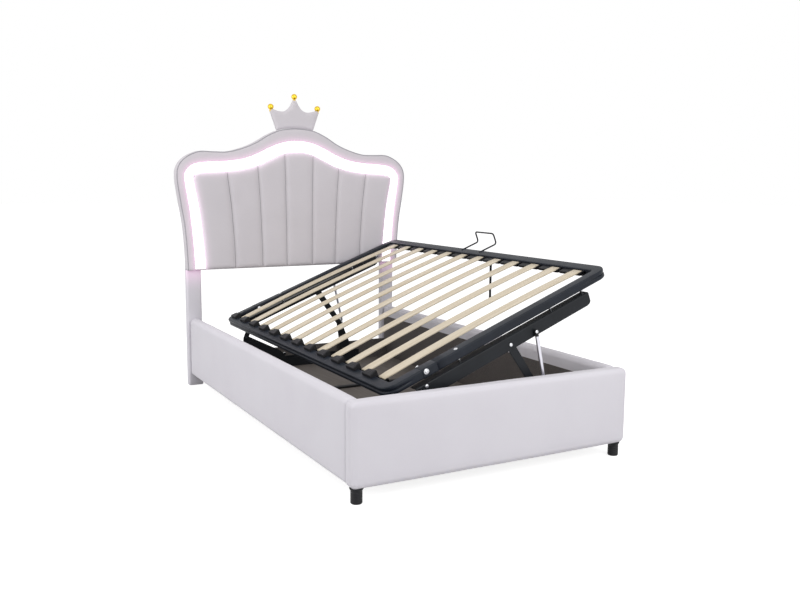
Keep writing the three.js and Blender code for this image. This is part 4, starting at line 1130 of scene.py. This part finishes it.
left_rail = rail_piece("side_rail_left_grooved", rail_line(sleeve_at), False, ("side_rail_left",))
long_leg = frame_width - sleeve_at - 0.0008
right_rail = rail_piece("side_rail_right_grooved", rail_line(long_leg), True,
                        ("side_rail_right", "end_rail_foot", "end_rail_head"))
print("rail faces:", len(left_rail.data.polygons), "and", len(right_rail.data.polygons))

# %% [markdown]
# At the left sleeve joints the short leg is a little larger than the long
# one that is pushed into it. A thin collar at its mouth shows the step.

# %% Sleeves
sleeves = []
for y in (frame_start + rail_width / 2, frame_end - rail_width / 2):
    rows = []
    for a, grow in ((0.172, 0.0), (0.176, 0.0008), (sleeve_at - 0.0015, 0.0008), (sleeve_at, 0.0003)):
        wider, taller = 1 + 2 * grow / rail_width, 1 + 2 * grow / rail_height
        rows.append([Vector((a, y + u * wider, rail_height / 2 + (v - rail_height / 2) * taller))
                     for u, v in rail_section(0.0)])
    sleeves.append(loft(rows, round_across=True))
add_piece("rail_sleeves", *merge(*sleeves), lift_body, frame_paint, at=rail_axes)
print("sleeves:", len(sleeves))

# %% [markdown]
# The slats are sprung: 8 mm of laminated wood, arched by 11 mm, with eased
# long edges. A rounded section is carried along the arch.

# %% Slats
slat_count, slat_half, slat_thick, slat_rise = 12, 0.0275, 0.008, 0.011
slat_from, slat_to, slat_foot = 0.060, 1.121, 0.0285
slat_first, slat_last = frame_start + 0.137, frame_end - 0.1435
slat_places = [slat_first + (slat_last - slat_first) * k / (slat_count - 1) for k in range(slat_count)]
slat_section, slat_edge = [], 0.003
for way, height, start in ((1, slat_edge, -90), (1, slat_thick - slat_edge, 0),
                           (-1, slat_thick - slat_edge, 90), (-1, slat_edge, 180)):
    slat_section += quarter((way * (slat_half - slat_edge), height), slat_edge, start, start + 90, 4)
slat_steps, narrower_end, thinner_end = 28, 0.976, 0.82
for number, y in enumerate(slat_places, 1):
    rows = []
    for k in range(slat_steps + 1):
        share = k / slat_steps
        a = slat_from + share * (slat_to - slat_from)
        middle = slat_foot + slat_rise * (1 - (2 * share - 1) ** 2) + slat_thick / 2
        wide_by, thick_by = (narrower_end, thinner_end) if k in (0, slat_steps) else (1, 1)
        rows.append([Vector((a, y + v * wide_by, middle + (w - slat_thick / 2) * thick_by))
                     for v, w in slat_section])
    add_piece("slat_%02d_sprung" % number, *loft(rows, round_across=True), lift_body, birch,
              ("slat_%02d" % number,), at=rail_axes)
print("slats:", slat_count, "pitch", round(1000 * (slat_places[1] - slat_places[0]), 1), "mm")

# %% [markdown]
# Moulded holders are pressed on the two long rails. Each has a seat under a
# slat's end, with a thin cheek on the foot side of the slat, and a block that
# fills half of the gap to the next slat. The blocks on the left rail rise
# over it, highest at their foot side, with a rounded top edge. One holder of
# each kind is modelled and then repeated along its rail.

# %% Slat holders
def moulded(outline, y0, y1, ease=0.0012):
    """An outline in X and Z carried from y0 to y1, its end edges rounded."""
    centre, rows = sum((Vector(p) for p in outline), Vector((0, 0))) / len(outline), []
    for y, inset in ((y0, 1.0), (y0 + 0.15 * ease, 0.5), (y0 + 0.45 * ease, 0.15), (y0 + ease, 0.0),
                     (y1 - ease, 0.0), (y1 - 0.45 * ease, 0.15), (y1 - 0.15 * ease, 0.5), (y1, 1.0)):
        row = []
        for a, n in outline:
            away = Vector((a, n)) - centre
            moved = centre + away * (1 - inset * ease / away.length)
            row.append(Vector((moved.x, y, moved.y)))
        rows.append(row)
    return loft(rows, round_across=True)


def repeated(part, places):
    return merge(*[laid(part, (0, y, 0)) for y in places])


holder_foot, block_near, block_far = 0.019, 0.030, 0.107


def raised_block(outer_side, inner_side):
    """A block over the rail whose top leans from its foot side down to its head side."""
    edge, over_rail, rows = 0.0038, outer_side + 0.0215, []
    for share, drop in ((0.0, 1.0), (0.006, 0.55), (0.02, 0.2), (0.05, 0.0), (0.3, 0.0), (0.6, 0.0),
                        (0.9, 0.0), (0.98, 0.25), (1.0, 1.0)):
        top_outer = 0.0535 - drop * edge
        top_inner = 0.0625 - 0.0095 * share - drop * edge
        row = [(over_rail, holder_foot), (inner_side, holder_foot)]
        row += quarter((inner_side - edge, top_inner - edge), edge, 0, 90, 5)
        row += quarter((outer_side + edge, top_outer - edge), edge, 90, 180, 5)
        row += [(outer_side, rail_height - 0.0006), (over_rail, rail_height - 0.0006)]
        rows.append([Vector((a, block_near + share * (block_far - block_near), n)) for a, n in row])
    return loft(rows, round_across=True)


def seat(a0, a1):
    """The tray under a slat's end, with a cheek on its foot side."""
    foot, near = holder_foot, -0.033
    tray = [(a0, foot), (a1, foot), (a1 + 0.0004, 0.0194), (a1 + 0.0004, 0.0276), (a1, 0.028), (a0, 0.028)]
    cheek = [(a0, foot), (a1 - 0.001, foot), (a1 - 0.001, 0.0310), (a1 - 0.003, 0.0330), (a0, 0.0330)]
    return [moulded(tray, near, 0.0315), moulded(cheek, near, -0.0280, 0.0008)]


low_block = [(1.1000, holder_foot), (1.1335, holder_foot), (1.1335, 0.030), (1.1030, 0.030),
             (1.1008, 0.0292), (1.1000, 0.027)]
for word, parts in (("left", [raised_block(0.027, 0.062)] + seat(0.0485, 0.0736)),
                    ("right", [moulded(low_block, block_near, block_far, 0.002)] + seat(1.1005, 1.1332))):
    holders = add_piece("slat_holders_" + word, *repeated(merge(*parts), slat_places), lift_body,
                        black_plastic, at=rail_axes, smooth=False)
    rounded_edges(holders, 0.0005, 1, 40)
    print("slat holders on the", word + ":", len(slat_places))

# %% [markdown]
# Zinc screws hold the sleeve joints of the rail and the bars under it. A
# socket in each head and a flat washer make them read as real screws. The
# sleeve bolts are longer than the rail is wide, and end in a washer and nut.

# %% Screws of the slat frame
def upright_screw(a, y, n_face, outward, radius, height):
    head = lathe(screw_head(radius, height, -0.002, steps=(0.5, 0.78, 0.94)))
    return laid(head, Matrix.Translation((a, y, n_face)) @ Matrix.Diagonal((1, 1, outward, 1)))


bar_gap, bar_screw_places = 0.0145, (0.355, 0.843, 1.023)
sleeve_bolt_a, sleeve_bolt_n, bolt_inset, nut_reach = 0.1915, 0.0245, 0.020, 0.026
washer_profile = [(0.0118, 0.0), (0.0118, 0.0016), (0.0112, 0.002), (0.0074, 0.002)]
nut_profile = [(0.0100, 0.0), (0.0104, 0.0004), (0.0104, 0.0016), (0.0100, 0.0020), (0.0066, 0.0020),
               (0.0066, 0.0068), (0.0058, 0.0074), (0.0042, 0.0074), (0.0040, 0.0104), (0.0030, 0.0112),
               (0.0, 0.0112)]
spacer_profile = [(0.0062, -bar_gap), (0.0066, 0.0006 - bar_gap), (0.0066, -0.0010), (0.0062, -0.0002)]
sleeve_head, shank, nut = (lathe(washer_profile + screw_head(0.007, 0.005, 0.002, 0.002)),
                           bolt(0.0042, nut_reach), lathe(nut_profile))
screws = []
for outward, y_face in ((-1, frame_start), (1, frame_end)):
    bolt_y, inner_face = y_face - outward * bolt_inset, y_face - outward * rail_width
    for part, y, way in ((sleeve_head, y_face + outward * 0.0006, outward), (shank, inner_face, -outward),
                         (nut, inner_face - outward * (nut_reach - 0.009), -outward)):
        screws.append(laid(part, facing_y(sleeve_bolt_a, y, sleeve_bolt_n, way)))
    screws.append(upright_screw(bar_screw_places[0], bolt_y, rail_height - 0.0004, 1, 0.0085, 0.0035))
    for a in bar_screw_places:
        screws.append(upright_screw(a, bolt_y, -bar_gap - 0.0036, -1, 0.0073, 0.0054))
        screws.append(laid(lathe(spacer_profile), (a, bolt_y, 0)))
add_piece("slat_frame_screws", *merge(*screws), lift_body, zinc, at=rail_axes)
print("screws and spacers of the slat frame:", len(screws))

# %% [markdown]
# The lifting mechanism is flat steel, cut, bent and painted. The channels,
# the short arms and the strap's clip are already the right shape, so they
# keep their own meshes and get the paint and a fine bevel. The long arm is a
# wider plate than its solid: round ends about its two pivots and straight
# sides between them, a little narrower at its foot.

# %% Channels and arms
for word in ("foot", "head"):
    for node in ("base_channel_", "short_arm_"):
        refinish(node + word, mechanism_paint, 0.0007)
refinish("strap_clip", mechanism_paint, 0.0004)


def opened(a, n):
    """A point of the slat frame as it stands in the open bed."""
    return slat_axes @ Vector((a, 0, n))


long_top, short_top, strut_top = opened(0.586, -0.043), opened(0.140, -0.043), opened(0.716, -0.043)
long_foot, short_foot = Vector((0.245774, 0, 0.326665)), Vector((-0.354796, 0, 0.271087))
strut_foot = Vector((0.325, 0, 0.110))
foot_end, head_end = -1.1075, 1.0745


def layer(word, depth):
    """Where a layer of the mechanism lies along Y, counted inwards from the bed's end."""
    return foot_end + depth if word == "foot" else head_end - depth


def link(foot, top, foot_radius, top_radius, near, far):
    """A flat bar with round ends from one pivot to the other, between two places along Y."""
    along = (top - foot).normalized()
    across = Vector((-along.z, 0, along.x))
    line = []
    for centre, way, radius in ((foot, -1, foot_radius), (top, 1, top_radius)):
        for t in range(0, 181, 12):
            turn = math.radians(t)
            line.append(centre + radius * (-way * math.cos(turn) * across + way * math.sin(turn) * along))
    return loft([[Vector((p.x, y, p.z)) for p in line] for y in (near, far)], round_across=True)


for word in ("foot", "head"):
    plate = link(long_foot, long_top, 0.0165, 0.0195, *sorted((layer(word, 0.0925), layer(word, 0.0975))))
    bar = add_piece("long_arm_%s_plate" % word, *plate, "lift_arm_" + word, mechanism_paint,
                    ("long_arm_" + word,), smooth=False)
    rounded_edges(bar, 0.0007, 2, 40)
print("long arm:", round(1000 * (long_top - long_foot).length, 1), "mm between its pivots")

# %% [markdown]
# The lifting bar under each end of the slat frame is an angle bar: a web
# that the arms turn on and a flange for the spacers, with a rounded bend
# between them. Its section is carried along the bar while the web's lower
# edge rises and falls, which cuts the two slanted ends.

# %% Lifting bars
def angle_section(word, low_edge):
    """The bar's section in Y and Z, from the web's lower edge up and along the flange."""
    web, flange, bend, top, thick = 0.088, 0.044, 0.005, -0.008, 0.004
    outline = [(web + thick, low_edge), (web + thick, top - bend)]
    outline += quarter((web + bend, top - bend), bend - thick, 150, 90, 2)
    outline += [(web + flange, top - thick), (web + flange, top)]
    outline += quarter((web + bend, top - bend), bend, 90, 180)
    return [(layer(word, depth), n) for depth, n in outline + [(web, low_edge)]]


bar_edge = ((0.118, -0.046), (0.148, -0.068), (0.300, -0.0665), (1.012, -0.0625), (1.026, -0.058),
            (1.033, -0.048))
for word in ("foot", "head"):
    rows = [[Vector((a, y, n)) for y, n in angle_section(word, low_edge)] for a, low_edge in bar_edge]
    bar = add_piece("top_bar_%s_angle" % word, *loft(rows, round_across=True), lift_body, mechanism_paint,
                    ("top_bar_" + word,), at=slat_axes, smooth=False)
    rounded_edges(bar, 0.0007, 2, 40)
print("lifting bar length:", round(1000 * (bar_edge[-1][0] - bar_edge[0][0])), "mm")

# %% [markdown]
# Rivets and bolts are turned pieces, set over the plain heads of the solids.
# Those that face outwards are bright zinc, and the ones on the inside are dark,
# in the paint of their arm. Each rides on the link that it belongs to.

# %% Rivets
def rivet(place, y, outward, size=1.0):
    profile = [(0.0102, -0.0016), (0.0104, 0.0006), (0.0098, 0.0018), (0.0082, 0.0028), (0.0058, 0.0034),
               (0.0030, 0.0036), (0.0, 0.0036)]
    return laid(lathe(profile, 28), facing_y(place.x, y, place.z, outward, size))


channel_bolt, bar_bolt = Vector((-0.113, 0, 0.157)), Vector((0.167, 0, -0.0195))
rivet_count = 0
for word, outward in (("foot", -1), ("head", 1)):
    for name, body, finish, at, heads in (
            ("long_arm_%s_rivet", "lift_arm_" + word, zinc, None, [(long_top, 0.0862, 1, 0.78)]),
            ("long_arm_%s_inner_rivets", "lift_arm_" + word, mechanism_paint, None,
             [(long_top, 0.0990, -1, 1), (long_foot, 0.1038, -1, 1)]),
            ("short_arm_%s_rivets", "short_arm_" + word, mechanism_paint, None,
             [(short_top, 0.0990, -1, 1), (short_foot, 0.1038, -1, 1)]),
            ("base_channel_%s_bolts", "base", zinc, None,
             [(channel_bolt, 0.0932, 1, 0.8), (strut_foot, 0.0712, 1, 0.75)]),
            ("top_bar_%s_bolt", lift_body, zinc, slat_axes, [(bar_bolt, 0.0880, 1, 0.8)])):
        parts = [rivet(place, layer(word, depth), way * outward, size) for place, depth, way, size in heads]
        add_piece(name % word, *merge(*parts), body, finish, at=at)
        rivet_count += len(parts)
print("rivets and bolts:", rivet_count)

# %% [markdown]
# Each gas strut is a silver cylinder with a thinner bright rod sliding in
# it. The cylinder's rim is rolled in round the rod's seal. Dark moulded end
# fittings sit on the studs at both ends, each held by a bright stud head.

# %% Gas struts
def turned(profile, start, end):
    """A lathe shape along the line from one point to another."""
    along = (end - start).normalized()
    side = along.cross(Vector((0, 1, 0))).normalized()
    axes = Matrix.Translation(start) @ Matrix((side, along.cross(side), along)).transposed().to_4x4()
    return laid(lathe(profile, 32), axes)


def eye(place, y):
    profile = [(0.0082, -0.0041), (0.0092, -0.0031), (0.0092, 0.0031), (0.0082, 0.0041)]
    return laid(lathe(profile, 28), facing_y(place.x, y, place.z, 1))


fitting = [(0.0052, 0.006), (0.0064, 0.009), (0.0064, 0.012), (0.0078, 0.0135), (0.0082, 0.0155),
           (0.0082, 0.0195), (0.0078, 0.0208), (0.0070, 0.0212)]
cylinder = [(0.0074, 0.0199), (0.0080, 0.0206)] + [(0.0080, 0.0212 + 0.2238 * k / 6) for k in range(7)]
cylinder += [(0.0078, 0.2488), (0.0070, 0.2506), (0.0066, 0.2516), (0.0070, 0.2528), (0.0066, 0.2546),
             (0.0052, 0.2552), (0.0045, 0.2549), (0.0044, 0.2500)]
rod = [(0.0040, 0.016 + 0.061 * k) for k in range(4)] + [(0.0040, 0.2605), (0.0034, 0.2618)]
rod_fitting = [(0.0048, 0.006), (0.0062, 0.0085), (0.0062, 0.017), (0.0054, 0.0182), (0.0041, 0.0184)]
for word, outward in (("foot", -1), ("head", 1)):
    y = layer(word, 0.077)
    upper, lower = Vector((strut_top.x, y, strut_top.z)), Vector((strut_foot.x, y, strut_foot.z))
    body, rod_body = "strut_cylinder_" + word, "strut_rod_" + word
    add_piece(body + "_turned", *turned(cylinder, upper, lower), body, silver, (body,))
    add_piece(body + "_fitting", *merge(turned(fitting, upper, lower), eye(strut_top, y)), body,
              black_plastic)
    add_piece(body + "_stud", *rivet(strut_top, y + outward * 0.0036, outward, 0.72), body, zinc)
    add_piece(rod_body + "_turned", *turned(rod, lower, upper), rod_body, silver, (rod_body,))
    add_piece(rod_body + "_fitting", *merge(turned(rod_fitting, lower, upper), eye(strut_foot, y)), rod_body,
              black_plastic)
print("strut length:", round(1000 * (strut_top - strut_foot).length, 1), "mm")

# %% [markdown]
# The mattress stop is a bent wire let into the top edge of the lifting rail.
# A small bead of weld on each side holds each of its two legs.

# %% Mattress stop
def rounded_path(corners, radius):
    corners = [Vector(c) for c in corners]
    path = corners[:1]
    for before, corner, after in zip(corners, corners[1:], corners[2:]):
        start = corner + (before - corner).normalized() * radius
        end = corner + (after - corner).normalized() * radius
        path += bent(start, corner, end) + [end]
    return path + corners[-1:]


stop_seat, stop_reach = frame_width - rail_width / 2, frame_width + 0.092
stop_near, stop_far, stop_low, stop_high = foot_end + 1.069, foot_end + 1.241, 0.0455, 0.1045
stop_path = rounded_path([(stop_seat, stop_near, stop_low), (stop_reach, stop_near, stop_low),
                          (stop_reach, stop_near, stop_high), (stop_reach, stop_far, stop_high),
                          (stop_reach, stop_far, stop_low), (stop_seat, stop_far, stop_low)], 0.016)
add_piece("mattress_stop_wire", *sweep(ring(0.0042, 16), stop_path, (0, 0, 1)), lift_body, mechanism_paint,
          ("mattress_stop",), at=slat_axes)
weld = [(0.0052, -0.002), (0.0062, 0.0), (0.0060, 0.0012), (0.0046, 0.0030), (0.0030, 0.0040), (0.0, 0.0044)]
weld_a, weld_n = frame_width - 0.014, rail_lift + rail_height - 0.0006
welds = [laid(lathe(weld, 20), Matrix.Translation((weld_a, y, weld_n)) @ Matrix.Diagonal((1.7, 0.7, 0.8, 1)))
         for leg_y in (stop_near, stop_far) for y in (leg_y - 0.0030, leg_y + 0.0030)]
add_piece("mattress_stop_welds", *merge(*welds), lift_body, frame_paint, at=slat_axes)
print("welds:", len(welds))

# %% [markdown]
# A loop of webbing hangs on a pin under the lifting rail, to pull the bed
# shut with. The band is folded round the pin, sewn, and its end is folded
# into a small hem.

# %% Pull strap
strap_place = opened(frame_width - 0.018, -0.012)
strap_half, strap_length, strap_y = 0.0095, 0.192, foot_end + 1.000
fold_radius, fold_end = 0.0048, -0.0105
fold = [(fold_radius * math.sin(math.radians(t)), fold_radius * math.cos(math.radians(t)))
        for t in range(150, -151, -20)]
hem = [(0.0012, 0.018), (0.0019, 0.0165), (0.0021, 0.002), (0.0012, 0.0004)]


def strap_face(x):
    """One face of the band from the fold down to the hem, a little wavy."""
    run = strap_length - 0.028
    return [(x - 0.0005 * math.sin(12 * k), fold_end - run * k / 10) for k in range(1, 10)]


outline = [(0.0012, fold_end)] + fold + [(-0.0012, fold_end)] + strap_face(-0.0011)
outline += [(-x, z - strap_length) for x, z in hem] + [(x, z - strap_length) for x, z in reversed(hem)]
outline += reversed(strap_face(0.0011))
rows = []
for share in (-1, -0.94, -0.5, 0, 0.5, 0.94, 1):
    thin = 0.6 if abs(share) == 1 else 1.0
    rows.append([strap_place + Vector((x * thin if z < -0.011 else x, strap_y + share * strap_half, z))
                 for x, z in outline])
add_piece("pull_strap_webbing", *loft(rows, round_across=True), "pull_strap", webbing, ("pull_strap",))
print("strap from", round(strap_place.z, 3), "down to", round(strap_place.z - strap_length, 3))

# %% [markdown]
# The photo was shown without any film curve, so the plain view is chosen.
# The box round the finished pieces is printed.

# %% View and sizes
bpy.context.scene.view_settings.view_transform = "Standard"
low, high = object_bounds()
print("visual box:", [round(v, 4) for v in low], [round(v, 4) for v in high])
